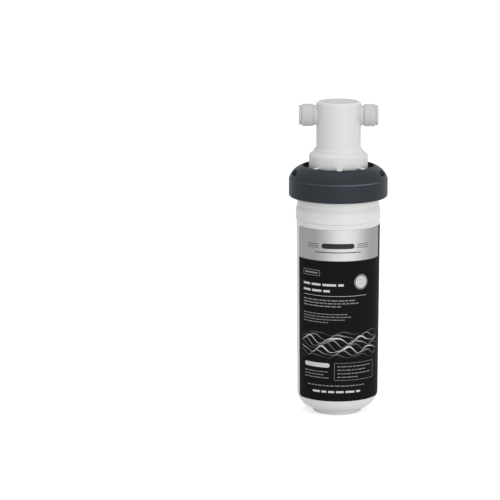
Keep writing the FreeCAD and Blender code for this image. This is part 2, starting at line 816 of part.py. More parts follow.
def make_fingers():
    """The head's front pointer and four stop tabs, which hook over the collar's lip and shoulder."""
    reach = collar_opening_radius + size("pointer_overlap") - size("pointer_radius")
    tab_reach = collar_opening_radius + size("stop_tab_overlap")
    root = flange_radius - size("flange_round")
    gap = size("turning_gap")
    z_nose = z_lip_top - size("finger_nose")
    z_top = z_pointer + size("pointer_height")
    width = size("stop_tab_width")
    blanks = [
        rod("pointer_nose", size("pointer_radius"), z_top - z_nose, x=reach, z=z_nose, angle=-90),
        block("pointer_tongue", (root, size("pointer_radius") * -1, z_nose),
              (reach, size("pointer_radius"), z_top), angle=-90)]
    tab = size("stop_tab_angle").value
    for index, angle in enumerate((-90 - tab, -90 + tab, 90 - tab, 90 + tab)):
        blanks.append(block(
            f"stop_tab_{index}", (root, width / -2, z_nose),
            (tab_reach, width / 2, z_top), angle=angle))
    z_shoulder = z_collar_base + size("collar_bottom_round") + size("collar_wall_height")
    swept = turned("collar_clearance", [
        (flange_radius, z_shoulder),
        (collar_radius + gap, z_shoulder),
        (collar_radius + gap, z_shoulder + gap),
        (collar_opening_radius, z_pointer, size("collar_shoulder_curve") + gap, "right"),
        (flange_radius, z_pointer),
    ])
    return carved("head_fingers", joined("finger_blanks", blanks), [swept])


def make_head_body():
    """The white head: tower, stepped flange, bearing flange, cartridge socket, riser and port stubs."""
    tower = size("tower_radius")
    tower_round = size("tower_round")
    flange = flange_radius
    flange_round = size("flange_round")
    socket = socket_radius
    lead_in = size("socket_lead_in")
    riser = size("riser_radius")
    bore = size("riser_bore_radius")
    channel = size("port_channel_radius")
    bearing = size("bearing_flange_radius")
    recess_inner = recess_inner_radius
    recess_outer = recess_outer_radius
    z_recess = z_head_base + size("recess_depth")
    pieces = [turned("head_turning", [
        (0, z_port + channel),
        (0, z_port + riser + size("riser_cap")),
        (riser, z_port + riser + size("riser_cap")),
        (riser, z_valve_seat),
        (chamber_radius, z_valve_seat),
        (chamber_radius, z_cap_base),
        (cap_bore_radius, z_cap_base),
        (cap_bore_radius, z_head_top),
        (tower - tower_round, z_head_top),
        (tower, z_head_top - tower_round, tower_round, "left"),
        (tower, z_tower),
        (step_radius, z_step_top),
        (step_radius, z_step_base),
        (flange - flange_round, z_flange_top),
        (flange, z_flange_top - flange_round, flange_round, "left"),
        (flange, z_bearing_top),
        (bearing, z_bearing_top),
        (bearing, z_head_base),
        (recess_outer, z_head_base),
        (recess_outer, z_recess),
        (recess_inner, z_recess),
        (recess_inner, z_head_base),
        (socket + lead_in, z_head_base),
        (socket, z_head_base + lead_in),
        (socket, z_socket_top),
        (bore, z_socket_top),
        (bore, z_port + channel),
    ])]
    cuts = []
    stub_start = cap_bore_radius + size("slide_fit")
    for name, angle, start in (("outlet", 0, as_size(0)), ("inlet", 180, chamber_radius - channel)):
        pieces.append(rod(
            f"head_{name}_stub", size("stub_radius"), stub_end - stub_start,
            x=stub_start, z=z_port, along=OUTWARD, angle=angle))
        pieces.append(rod(
            f"head_{name}_spigot", size("stub_spigot_radius"),
            stub_end + size("stub_spigot_length") - tube_stop,
            x=tube_stop, z=z_port, along=OUTWARD, angle=angle))
        cuts.append(rod(
            f"head_{name}_channel", channel, stub_end - start,
            x=start, z=z_port, along=OUTWARD, angle=angle))
        cuts.append(rod(
            f"head_{name}_tube_socket", size("tube_bore_radius"), stub_end,
            x=tube_stop, z=z_port, along=OUTWARD, angle=angle))
    pieces.append(rod(
        "head_outlet_boss", size("outlet_boss_radius"), stub_start, z=z_port, along=OUTWARD))
    rib_start = size("key_width") / 2 + size("key_gap")
    for angle in (-90, 90):
        for name, low, high in (("right", -rib_start - size("recess_rib"), -rib_start),
                                ("left", rib_start, rib_start + size("recess_rib"))):
            pieces.append(block(
                f"head_rib_{name}_{angle}", (recess_inner - lead_in / 2, low, z_head_base),
                (recess_outer + lead_in / 2, high, z_recess + lead_in), angle=angle))
    pieces.append(make_fingers())
    hole_count = int(size("valve_hole_count").value)
    for index in range(hole_count):
        cuts.append(rod(
            f"head_valve_hole_{index}", size("valve_hole_radius"), size("valve_floor") * 2,
            x=valve_hole_circle, z=z_socket_top - size("valve_floor") / 2,
            angle=360.0 * index / hole_count))
    return carved("head_body", joined("head_solid", pieces), cuts)


def make_head_cap():
    """The disc that closes the tower, with two blind screw bosses for a bracket."""
    rim = cap_bore_radius - size("weld_fit")
    skirt = chamber_radius - size("weld_fit")
    mark = size("gate_mark_radius")
    pieces = [turned("head_cap_disc", [
        (0, z_cap_base),
        (skirt - size("cap_skirt_wall"), z_cap_base),
        (skirt - size("cap_skirt_wall"), z_cap_skirt),
        (skirt, z_cap_skirt),
        (skirt, z_cap_base),
        (rim, z_cap_base),
        (rim, z_cap_top),
        (mark, z_cap_top),
        (mark, z_cap_top - size("gate_mark_depth")),
        (0, z_cap_top - size("gate_mark_depth")),
    ])]
    cuts = []
    screw_circle = chamber_radius - size("screw_inset")
    for name, angle in (("outlet", 0), ("inlet", 180)):
        pieces.append(rod(
            f"cap_{name}_boss", size("screw_boss_radius"), z_cap_top - z_cap_skirt,
            x=screw_circle, z=z_cap_skirt, angle=angle))
        cuts.append(rod(
            f"cap_{name}_pilot", size("screw_pilot_radius"), size("screw_pilot_depth") * 2,
            x=screw_circle, z=z_cap_top - size("screw_pilot_depth"), angle=angle))
    return carved("head_cap", joined("head_cap_solid", pieces), cuts)


def make_valve():
    """The shut-off valve: a ring that slides on the riser, its rubber pad, the spring and its stop."""
    hub = valve_bore_radius + size("valve_ring_hub_wall")
    plate = valve_ring_radius
    valve = turned("valve_ring", [
        (valve_bore_radius, z_valve_ring),
        (plate, z_valve_ring),
        (plate, z_spring_seat),
        (hub, z_spring_seat),
        (hub, z_valve_ring + size("valve_ring_hub_height")),
        (valve_bore_radius, z_valve_ring + size("valve_ring_hub_height")),
    ])
    pad = ring("valve_pad", size("valve_pad_inner_radius"), plate, z_valve_pad, z_valve_ring)
    retainer = ring(
        "spring_retainer", size("riser_radius") + size("weld_fit"), size("spring_retainer_radius"),
        z_retainer_base, z_retainer_top)
    wire = size("spring_wire_radius").value
    base = z_spring_seat.value + wire + size("weld_fit").value
    top = z_retainer_base.value - wire - size("weld_fit").value
    turns = int(size("spring_turns").value)
    mean = size("spring_mean_radius").value
    path = coil_wire(mean, base, (top - base) / turns, turns)
    circle = Part.Wire(Part.makeCircle(wire, FreeCAD.Vector(mean, 0, base), FreeCAD.Vector(0, 1, 0)))
    spring = shaped("valve_spring", path.makePipeShell([circle], True, False))
    ideal = path.Length * math.pi * wire ** 2
    print(f"valve spring: volume {spring.Shape.Volume:.1f}, section times length {ideal:.1f}")
    return [valve, pad, retainer, spring]


def make_port(name, angle):
    """One push-fit port: nut, collet, grip ring, tube seal and spacer, all about the port's axis."""
    round_edge = size("nut_round")
    nut_radius = size("nut_radius")
    pocket = size("seal_pocket_radius")
    bore = size("tube_bore_radius")
    hub = size("collet_hub_radius")
    nut = turned(f"{name}_port_nut", [
        (nut_start, size("stub_spigot_radius") + size("weld_fit")),
        (spigot_end, size("stub_spigot_radius") + size("weld_fit")),
        (spigot_end, pocket),
        (nut_mouth, pocket),
        (nut_mouth, size("nut_mouth_radius")),
        (nut_recess, size("nut_mouth_radius")),
        (nut_recess, hub + size("turning_gap")),
        (nut_end, hub + size("turning_gap")),
        (nut_end, nut_radius - round_edge),
        (nut_end - round_edge, nut_radius, round_edge, "right"),
        (nut_start + round_edge, nut_radius),
        (nut_start, nut_radius - round_edge, round_edge, "right"),
    ], about="H_Axis")
    sleeve = size("collet_sleeve_radius")
    flange = size("collet_flange_radius")
    flange_round = size("collet_flange_round")
    groove_start = grip_ring_start - size("weld_fit")
    groove_end = grip_ring_start + size("grip_ring_thickness") + size("weld_fit")
    groove_radius = size("grip_ring_radius") + size("weld_fit")
    slit = size("collet_slit") / 2
    slit_end = barb_start + size("collet_slit_length")
    reach = size("seal_pocket_radius")
    collet = carved(f"{name}_collet", turned(f"{name}_collet_turning", [
        (barb_start, bore),
        (groove_start, bore),
        (groove_start, groove_radius),
        (groove_end, groove_radius),
        (groove_end, bore),
        (collet_end, bore),
        (collet_end, flange - flange_round),
        (collet_end - flange_round, flange, flange_round, "right"),
        (collet_flange_start, flange),
        (collet_flange_start, hub),
        (collet_hub_start, hub),
        (collet_hub_start, sleeve),
        (barb_end, sleeve),
        (barb_end, size("collet_barb_radius")),
        (barb_start, size("collet_barb_radius")),
    ], about="H_Axis"), [
        block(f"{name}_collet_slit_upright", (barb_start - slit, slit * -1, reach * -1),
              (slit_end, slit, reach)),
        block(f"{name}_collet_slit_level", (barb_start - slit, reach * -1, slit * -1),
              (slit_end, reach, slit)),
    ])
    notch_count = int(size("grip_ring_notch_count").value)
    notches = []
    for index in range(notch_count):
        turn = 2 * math.pi * index / notch_count
        notches.append(rod(
            f"{name}_grip_notch_{index}", size("grip_ring_notch_radius"), size("grip_ring_thickness") * 3,
            x=grip_ring_start - size("grip_ring_thickness"),
            y=size("grip_ring_bore_radius") * math.cos(turn),
            z=size("grip_ring_bore_radius") * math.sin(turn), along=OUTWARD))
    grip = carved(f"{name}_grip_ring", turned(f"{name}_grip_ring_blank", [
        (grip_ring_start, size("grip_ring_bore_radius")),
        (grip_ring_start + size("grip_ring_thickness"), size("grip_ring_bore_radius")),
        (grip_ring_start + size("grip_ring_thickness"), size("grip_ring_radius")),
        (grip_ring_start, size("grip_ring_radius")),
    ], about="H_Axis"), notches)
    seal = torus(
        f"{name}_tube_seal", pocket - size("weld_fit") - size("tube_seal_section"),
        size("tube_seal_section"), seal_station, along=OUTWARD)
    spacer = turned(f"{name}_seal_spacer", [
        (spacer_start, bore),
        (spacer_start + size("seal_spacer_length"), bore),
        (spacer_start + size("seal_spacer_length"), pocket - size("weld_fit")),
        (spacer_start, pocket - size("weld_fit")),
    ], about="H_Axis")
    nodes = [nut, collet, grip, seal, spacer]
    for node in nodes[:3] + nodes[4:]:
        node.Placement = FreeCAD.Placement(FreeCAD.Vector(0, 0, 0), FreeCAD.Rotation(UP, angle))
        bind(node, "Placement.Base.z", z_port)
    if angle:
        bind(seal, "Placement.Base.x", -seal_station)
    bind(seal, "Placement.Base.z", z_port)
    return nodes


def make_collar():
    """The dark twist collar: lip, curved shoulder with grip pockets, and the bayonet ramps inside."""
    radius = collar_radius
    wall = collar_inner_radius
    z_wall = z_collar_base + size("collar_bottom_round")
    z_shoulder = z_wall + size("collar_wall_height")
    z_cavity = z_bayonet + size("collar_cavity_height")
    pieces = [turned("collar_turning", [
        (collar_neck_radius, z_collar_base),
        (radius - size("collar_bottom_round"), z_collar_base),
        (radius, z_wall, size("collar_bottom_round"), "right"),
        (radius, z_shoulder),
        (collar_opening_radius, z_lip_top, size("collar_shoulder_curve"), "right"),
        (collar_opening_radius, z_lip_base),
        (collar_bore_radius, z_lip_base),
        (collar_bore_radius, z_cavity + size("collar_cavity_slope")),
        (wall, z_cavity),
        (wall, z_bayonet),
        (collar_neck_radius, z_bayonet),
    ])]
    drop = size("cartridge_drop").value
    twist = size("twist_angle").value
    margin = size("notch_margin_angle").value
    lug_half = size("lug_width_angle").value / 2
    stop = size("stop_angle").value
    count = int(size("lug_count").value)
    inner = collar_neck_radius.value + size("ramp_setback").value
    outer = wall.value + size("ramp_setback").value
    ramp_start = -lug_half - size("stop_gap_angle").value
    ramp_end = twist - lug_half - margin
    base = z_bayonet.value - size("bayonet_floor").value / 2
    high = z_bayonet.value + drop * (1 - ramp_start / twist)
    low = z_bayonet.value + drop * (1 - ramp_end / twist)
    notches = []
    for index in range(count):
        turn = 360.0 * index / count
        pieces.append(shaped(f"collar_ramp_{index}", helical_block(
            inner, outer, turn + ramp_start, ramp_end - ramp_start, base, high, 0.0, low - high)))
        pieces.append(shaped(f"collar_stop_{index}", helical_block(
            inner, outer, turn + ramp_start - stop, stop, base, base + size("stop_height").value, 0.0)))
        notches.append(helical_block(
            inner - 2 * size("ramp_setback").value, lug_radius.value + size("notch_gap").value,
            turn + ramp_end, 2 * (lug_half + margin), z_collar_base.value - drop,
            z_bayonet.value + drop, 0.0))
    pocket_count = int(size("pocket_count").value)
    width = size("pocket_width_angle").value
    pitch = size("pocket_pitch_angle").value
    floor = z_lip_top.value - size("pocket_floor_drop").value
    pockets = []
    for side in (0, 180):
        for index in range(pocket_count):
            middle = side + pitch * (index - (pocket_count - 1) / 2)
            pockets.append(helical_block(
                (collar_bore_radius + size("pocket_wall")).value, (radius - size("pocket_rim")).value,
                middle - width / 2, width, floor, z_lip_top.value, 0.0))
    cuts = [shaped("collar_notches", Part.makeCompound(notches)),
            shaped("collar_pockets", Part.makeCompound(pockets))]
    return carved("locking_collar", joined("collar_solid", pieces), cuts)


def make_bearing_ring():
    """The dark washer that the collar's lip turns on."""
    return ring(
        "collar_bearing_ring", flange_radius + size("weld_fit"),
        size("bearing_flange_radius") - size("key_gap"), z_bearing_top,
        z_bearing_top + size("bearing_ring_thickness"))


def check(nodes):
    """Stops if an object failed to recompute or a sub-part has no valid solid."""
    faults = [item.Label for item in doc.Objects if "Invalid" in item.State or "Error" in item.State]
    for node in nodes:
        shape = node.Shape
        if shape.isNull() or not shape.isValid() or not shape.Solids:
            faults.append(node.Label)
    if faults:
        raise RuntimeError("failed: " + ", ".join(faults))


def main():
    """Builds the sub-parts, checks them and writes one STEP file each."""
    nodes = [make_shell(), make_end_cap(), make_label(), make_head_body(), make_head_cap()]
    nodes += make_cartridge_seals()
    nodes += make_element()
    nodes += make_valve()
    nodes += make_port("outlet", 0)
    nodes += make_port("inlet", 180)
    nodes += [make_collar(), make_bearing_ring()]
    doc.recompute()
    check(nodes)
    os.makedirs("parts", exist_ok=True)
    for node in nodes:
        shape = node.Shape
        box = shape.optimalBoundingBox()
        print(f"{node.Label}: {len(shape.Solids)} solid, volume {shape.Volume:.1f}, "
              f"x {box.XMin:.2f} to {box.XMax:.2f}, z {box.ZMin:.2f} to {box.ZMax:.2f}")
        shape.exportStep(f"parts/{node.Label}.step")


main()
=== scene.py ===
"""The looks of an under-sink water filter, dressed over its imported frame.

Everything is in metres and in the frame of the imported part: the origin is the centre of the
foot's underside, +Z is up, the ports lie along X and the printed wrap faces -Y.
"""
import enum
import logging
import random
from dataclasses import dataclass, field
from functools import partial
from math import atan2, ceil, copysign, cos, degrees, dist, exp, hypot, pi, radians, sin, sqrt, tau
from typing import Any, Callable, Iterable, NamedTuple, Sequence

import bmesh
import bpy
from mathutils import Matrix, Vector


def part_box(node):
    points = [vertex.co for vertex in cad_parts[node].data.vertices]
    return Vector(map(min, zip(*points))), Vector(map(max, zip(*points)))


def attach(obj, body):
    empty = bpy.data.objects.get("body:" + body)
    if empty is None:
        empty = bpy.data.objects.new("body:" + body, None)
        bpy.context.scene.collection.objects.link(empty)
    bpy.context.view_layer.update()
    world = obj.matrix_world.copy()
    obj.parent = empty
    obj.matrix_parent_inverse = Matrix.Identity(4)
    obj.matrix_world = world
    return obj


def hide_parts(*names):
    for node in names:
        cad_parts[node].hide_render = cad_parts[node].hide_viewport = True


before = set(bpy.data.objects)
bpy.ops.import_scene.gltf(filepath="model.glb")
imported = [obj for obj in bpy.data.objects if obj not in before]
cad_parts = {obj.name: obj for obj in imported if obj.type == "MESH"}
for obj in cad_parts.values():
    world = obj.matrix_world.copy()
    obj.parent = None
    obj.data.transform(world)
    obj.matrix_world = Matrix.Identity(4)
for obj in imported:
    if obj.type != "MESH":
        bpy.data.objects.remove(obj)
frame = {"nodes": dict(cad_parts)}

log = logging.getLogger("filter")

MM = 0.001
SHARP_ANGLE = radians(38.0)
EASE_STEPS = 5
NOISE_MIDDLE = (0.3, 0.7)
ARC_STEP = radians(4.0)
FRONT = -pi / 2.0

Point = tuple[float, float]
Point3 = tuple[float, float, float]
Mesh = bmesh.types.BMesh
Vert = bmesh.types.BMVert
Socket = bpy.types.NodeSocket


class Body(enum.Enum):
    """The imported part's moving bodies."""

    HEAD = "head"
    CARTRIDGE = "cartridge"
    COLLAR = "collar"
    OUTLET_RELEASE = "outlet_release"
    INLET_RELEASE = "inlet_release"


class Slot(enum.Enum):
    """The record's material slots, one named for each piece made here."""

    SHELL = "white_shell"
    HEAD = "white_head"
    PORT = "white_port"
    COLLAR = "slate_collar"
    WASHER = "black_ring"
    LABEL = "label_print"


class Side(enum.Enum):
    """The two sides of the head that carry a port."""

    OUTLET = 1
    INLET = -1

    @property
    def word(self) -> str:
        """The side's word in the names of nodes and bodies."""
        return self.name.lower()

    @property
    def release(self) -> Body:
        """The body of the release collet on this side."""
        return Body.OUTLET_RELEASE if self is Side.OUTLET else Body.INLET_RELEASE


def boxed(node: str, corner: int, axis: str) -> Any:
    """A field that is read from a node's box, whose corner 0 is the lowest and 1 the highest."""
    return field(default_factory=lambda: getattr(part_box(node)[corner], axis))


def smooth_step(low: float, high: float, value: float) -> float:
    """Rises from 0 at low to 1 at high with level ends.

    Args:
        low: Where the rise starts.
        high: Where the rise ends.
        value: The place to read.

    Returns:
        A share between 0 and 1.
    """
    share = min(max((value - low) / (high - low), 0.0), 1.0)
    return share * share * (3.0 - 2.0 * share)


def half_chord(radius: float, run: float) -> float:
    """Half the width of a circle at a distance from its middle, 0 outside it."""
    return sqrt(max(radius**2 - run**2, 0.0))


# Outlines


class Knot(NamedTuple):
    """One corner of an outline in a plane that holds the turning axis.

    Attributes:
        across: Distance from the axis, or the station along it for pieces turned about X.
        up: Height, or distance from the axis for pieces turned about X.
        ease: How far from the corner its rounding starts.
        bend: Radius of the edge that arrives here, 0 for a straight one. A positive radius
            bulges to the right of the way the outline goes, a negative one to the left.
    """

    across: float
    up: float
    ease: float = 0.0
    bend: float = 0.0


def between(start: Point, end: Point, share: float) -> Point:
    """The point at a share of the way from one point to another."""
    return (start[0] + (end[0] - start[0]) * share, start[1] + (end[1] - start[1]) * share)


def arc_centre(start: Point, end: Point, bend: float) -> Point:
    """The centre of a bent edge between two corners, with its radius and side as in Knot."""
    run = (end[0] - start[0], end[1] - start[1])
    chord = hypot(*run)
    depth = copysign(sqrt(max(bend * bend - chord * chord / 4.0, 0.0)), bend)
    return (
        (start[0] + end[0]) / 2.0 - run[1] / chord * depth,
        (start[1] + end[1]) / 2.0 + run[0] / chord * depth,
    )


def bent_edge(start: Point, end: Point, bend: float) -> list[Point]:
    """Samples the edge between two corners.

    Args:
        start: The corner that the edge leaves.
        end: The corner that it reaches.
        bend: The edge's radius and side, as in Knot.

    Returns:
        The points after start, up to end.
    """
    if bend == 0.0:
        return [end]
    x, y = arc_centre(start, end, bend)
    first = atan2(start[1] - y, start[0] - x)
    sweep = atan2(end[1] - y, end[0] - x) - first
    sweep = sweep % tau if bend > 0.0 else -(-sweep % tau)
    steps = max(2, ceil(abs(sweep) / ARC_STEP))
    turns = [first + sweep * step / steps for step in range(1, steps)]
    return [(x + abs(bend) * cos(turn), y + abs(bend) * sin(turn)) for turn in turns] + [end]


def point_along(points: Sequence[Point], lengths: Sequence[float], distance: float) -> Point:
    """Finds the point at a distance along a line of points.

    Args:
        points: The line's points.
        lengths: The distance of each point from the first.
        distance: How far along to look.

    Returns:
        The point there.
    """
    for index in range(1, len(points)):
        if lengths[index] >= distance:
            span = lengths[index] - lengths[index - 1]
            share = (distance - lengths[index - 1]) / span if span else 0.0
            return between(points[index - 1], points[index], share)
    return points[-1]


def eased_corner(points: Sequence[Point], lengths: Sequence[float], index: int, ease: float) -> list[Point]:
    """Rounds one corner of a line of points.

    Args:
        points: The line's points.
        lengths: The distance of each point from the first.
        index: The corner's place in the line.
        ease: How far from the corner the rounding starts.

    Returns:
        The points of the rounding, both ends included.
    """
    start = point_along(points, lengths, lengths[index] - ease)
    end = point_along(points, lengths, lengths[index] + ease)
    corner = points[index]
    rounding = []
    for share in (step / EASE_STEPS for step in range(EASE_STEPS + 1)):
        one, two, three = (1.0 - share) ** 2, 2.0 * share * (1.0 - share), share * share
        rounding.append(tuple(one * a + two * b + three * c for a, b, c in zip(start, corner, end)))
    return rounding


def trace(corners: Iterable[Sequence[float]], closed: bool) -> list[Point]:
    """Turns corners into an outline with sampled arcs and rounded corners.

    Args:
        corners: The numbers of each Knot in order. The ends of an open outline aren't rounded.
        closed: True if the last corner joins the first.

    Returns:
        The outline's points. A closed outline doesn't repeat its first point.
    """
    knots = [Knot(*corner) for corner in corners]
    if closed:
        first, last = knots[0], knots[-1]
        middle = Knot((first.across + last.across) / 2.0, (first.up + last.up) / 2.0)
        knots = [middle, *knots, middle]
    points: list[Point] = [knots[0][:2]]
    rounded: list[tuple[int, float]] = []
    for knot in knots[1:]:
        points += bent_edge(points[-1], knot[:2], knot.bend)
        if knot.ease:
            rounded.append((len(points) - 1, knot.ease))
    lengths = [0.0]
    for before, after in zip(points, points[1:]):
        lengths.append(lengths[-1] + dist(before, after))
    result: list[Point] = []
    waiting = iter(rounded)
    corner = next(waiting, None)
    for index, point in enumerate(points):
        while corner and lengths[index] > lengths[corner[0]] + corner[1]:
            corner = next(waiting, None)
        if corner and abs(lengths[index] - lengths[corner[0]]) <= corner[1]:
            if index == corner[0]:
                result += eased_corner(points, lengths, *corner)
            continue
        result.append(point)
    return result[:-1] if closed else result


# Meshes


def about_z(across: float, up: float, angle: float) -> Vector:
    """The point at a radius and a height, turned about Z by an angle from +X."""
    return Vector((across * cos(angle), across * sin(angle), up))


def along_x(side: Side, height: float, across: float, up: float, angle: float) -> Vector:
    """The point at a distance from a level line and an angle round it, on a side of the head."""
    return Vector((side.value * across, up * sin(angle), height + up * cos(angle)))


def ring(mesh: Mesh, steps: int, place: Callable[[float], Sequence[float]]) -> list[Vert]:
    """Adds and returns a vertex for each of some even angles, or one for all at a single place."""
    if place(0.0) == place(pi):
        return [mesh.verts.new(place(0.0))] * steps
    return [mesh.verts.new(place(tau * step / steps)) for step in range(steps)]


def rings(
    mesh: Mesh,
    steps: int,
    levels: Iterable[Point],
    place: Callable[[float, float, float], Sequence[float]] = about_z,
) -> list[list[Vert]]:
    """Adds a ring of vertices for each level, a pair such as radius and height.

    Args:
        mesh: The mesh to add to.
        steps: How many vertices a ring has.
        levels: The pairs.
        place: Gives the place of a level at an angle.

    Returns:
        The rings.
    """
    return [ring(mesh, steps, partial(place, *level)) for level in levels]


def fill(
    mesh: Mesh,
    rows: Sequence[Sequence[Vert]],
    looped: bool = False,
    round_rows: bool = True,
    caps: Iterable[int] = (),
) -> list[bmesh.types.BMFace]:
    """Fills a grid of vertices with quads.

    Args:
        mesh: The mesh that holds the vertices.
        rows: The grid's rows, all of one length.
        looped: True if the last row joins the first.
        round_rows: True if each row's last vertex joins its first.
        caps: The rows that are closed with a face of their own.

    Returns:
        The new quads.
    """
    faces = []
    for row in range(len(rows) - (not looped)):
        upper, lower = rows[row], rows[(row + 1) % len(rows)]
        for column in range(len(upper) - (not round_rows)):
            after = (column + 1) % len(upper)
            distinct = list(dict.fromkeys((upper[column], upper[after], lower[after], lower[column])))
            if len(distinct) > 2:
                faces.append(mesh.faces.new(distinct))
    for cap in caps:
        mesh.faces.new(rows[cap])
    return faces


def placed(name: str, data: bpy.types.ID | Mesh) -> bpy.types.Object:
    """Puts data, or a mesh that is being made, into the scene as an object and returns it."""
    if isinstance(data, Mesh):
        made = bpy.data.meshes.new(name)
        data.to_mesh(made)
        data.free()
        data = made
    thing = bpy.data.objects.new(name, data)
    bpy.context.scene.collection.objects.link(thing)
    return thing


@dataclass
class Piece:
    """A visible piece that is being made: its mesh, its finishes and what it rides on."""

    name: str
    body: Body
    slot: Slot
    finishes: Sequence["Finish"]
    stands_for: Sequence[str] = ()
    mesh: Mesh = field(default_factory=bmesh.new)

    def upright(self, *corners: Sequence[float], closed: bool = True, segments: int = 216) -> None:
        """Adds a shape turned about Z.

        Args:
            *corners: The outline's knots as (radius, height).
            closed: True for a ring, False for an outline whose ends are on the axis.
            segments: How many sides the shape has.
        """
        fill(self.mesh, rings(self.mesh, segments, trace(corners, closed)), closed)

    def level(self, *corners: Sequence[float], height: float, side: Side) -> None:
        """Adds a ring turned about a line along X.

        Args:
            *corners: The outline's knots as (distance from the head's axis, radius).
            height: The line's height.
            side: The side of the head on which it lies.
        """
        fill(self.mesh, rings(self.mesh, 128, trace(corners, True), partial(along_x, side, height)), True)

    def done(self) -> None:
        """Closes the mesh, dresses it and puts it on its body."""
        bmesh.ops.recalc_face_normals(self.mesh, faces=self.mesh.faces)
        made = placed(self.name, self.mesh)
        for finish in self.finishes:
            made.data.materials.append(finish.material())
        made.data.polygons.foreach_set("use_smooth", [True] * len(made.data.polygons))
        made.data.set_sharp_from_angle(angle=SHARP_ANGLE)
        shading = made.modifiers.new("even_shading", "WEIGHTED_NORMAL")
        shading.keep_sharp = True
        shading.weight = 60
        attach(made, self.body.value)
        if self.stands_for:
            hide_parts(*self.stands_for)
        log.info("%s: %d faces on %s", self.name, len(made.data.polygons), self.body.value)


# Finishes


class Recipe:
    """A node tree, with short ways to add nodes and join them."""

    def __init__(self, tree: bpy.types.NodeTree) -> None:
        """Empties the tree and keeps it."""
        self.tree = tree
        tree.nodes.clear()

    def feed(self, target: Socket, source: Any) -> None:
        """Links an output to an input, or sets the input to a value."""
        if isinstance(source, bpy.types.NodeSocket):
            self.tree.links.new(source, target)
        else:
            target.default_value = source

    def add(self, kind: str, *sources: Any, **settings: Any) -> bpy.types.Node:
        """Adds a node.

        Args:
            kind: The node's Blender type, without the ShaderNode that it starts with.
            *sources: Outputs or values for its first inputs, in order.
            **settings: Its properties, and its inputs by name with _ for a space.

        Returns:
            The node.
        """
        node = self.tree.nodes.new("ShaderNode" + kind)
        for name, value in settings.items():
            if hasattr(node, name):
                setattr(node, name, value)
            else:
                self.feed(node.inputs[name.replace("_", " ")], value)
        for index, source in enumerate(sources):
            self.feed(node.inputs[index], source)
        return node

    def math(self, operation: str, *sources: Any) -> Socket:
        """Adds a sum of one or two numbers and returns its result."""
        return self.add("Math", *sources, operation=operation).outputs[0]

    def mixed(self, share: Socket, first: Any, second: Any) -> Socket:
        """Blends two colours by a share and returns the colour."""
        mix = self.add("Mix", share, data_type="RGBA")
        self.feed(mix.inputs[6], first)
        self.feed(mix.inputs[7], second)
        return mix.outputs[2]

    def mapped(self, source: Socket, start: Point, end: Point, kind: str = "SMOOTHSTEP") -> Socket:
        """Maps the range between two numbers to another one and returns the number."""
        return self.add("MapRange", source, *start, *end, interpolation_type=kind).outputs["Result"]

    def places(self, wrap: bool = False) -> Socket:
        """The coordinates of the wrap or of the part."""
        return self.add("TexCoord").outputs["UV" if wrap else "Object"]

    def seen(self) -> Socket:
        """An output that is 1 for camera, glossy and transmission rays and 0 for the others."""
        path = self.add("LightPath")
        total = path.outputs["Is Camera Ray"]
        for rays in ("Is Glossy Ray", "Is Transmission Ray"):
            total = self.math("MAXIMUM", total, path.outputs[rays])
        return total


def shade(colour: Point3, share: float) -> tuple[float, ...]:
    """A colour made lighter or darker by a share of itself, with its alpha."""
    return (*(min(channel * share, 1.0) for channel in colour), 1.0)


@dataclass(frozen=True)
class Texture:
    """A noise over a surface and what it changes there.

    Attributes:
        scale: How fine it is, along each axis where they differ.
        detail: How many finer noises it holds.
        tone: Shares of the finish's colour at its lowest and highest places.
        gloss: What is added to the roughness at its lower and higher places.
        depth: Depth of its relief in metres.
        wrap: True if it follows the wrap.
        cells: True for small angular cells.
    """

    scale: float | tuple[float, float, float]
    detail: float = 3.0
    tone: Point | None = None
    gloss: Point | None = None
    depth: float = 0.0
    wrap: bool = False
    cells: bool = False

    def height(self, recipe: Recipe) -> Socket:
        """Adds the noise to a tree and returns its height."""
        where, scale = recipe.places(self.wrap), self.scale
        if isinstance(scale, tuple):
            where = recipe.add("Mapping", Vector=where, Scale=scale).outputs["Vector"]
            scale = 1.0
        if self.cells:
            return recipe.add("TexVoronoi", Vector=where, Scale=scale).outputs["Distance"]
        return recipe.add("TexNoise", Vector=where, Scale=scale, Detail=self.detail).outputs["Fac"]


_made: dict[str, bpy.types.Material] = {}


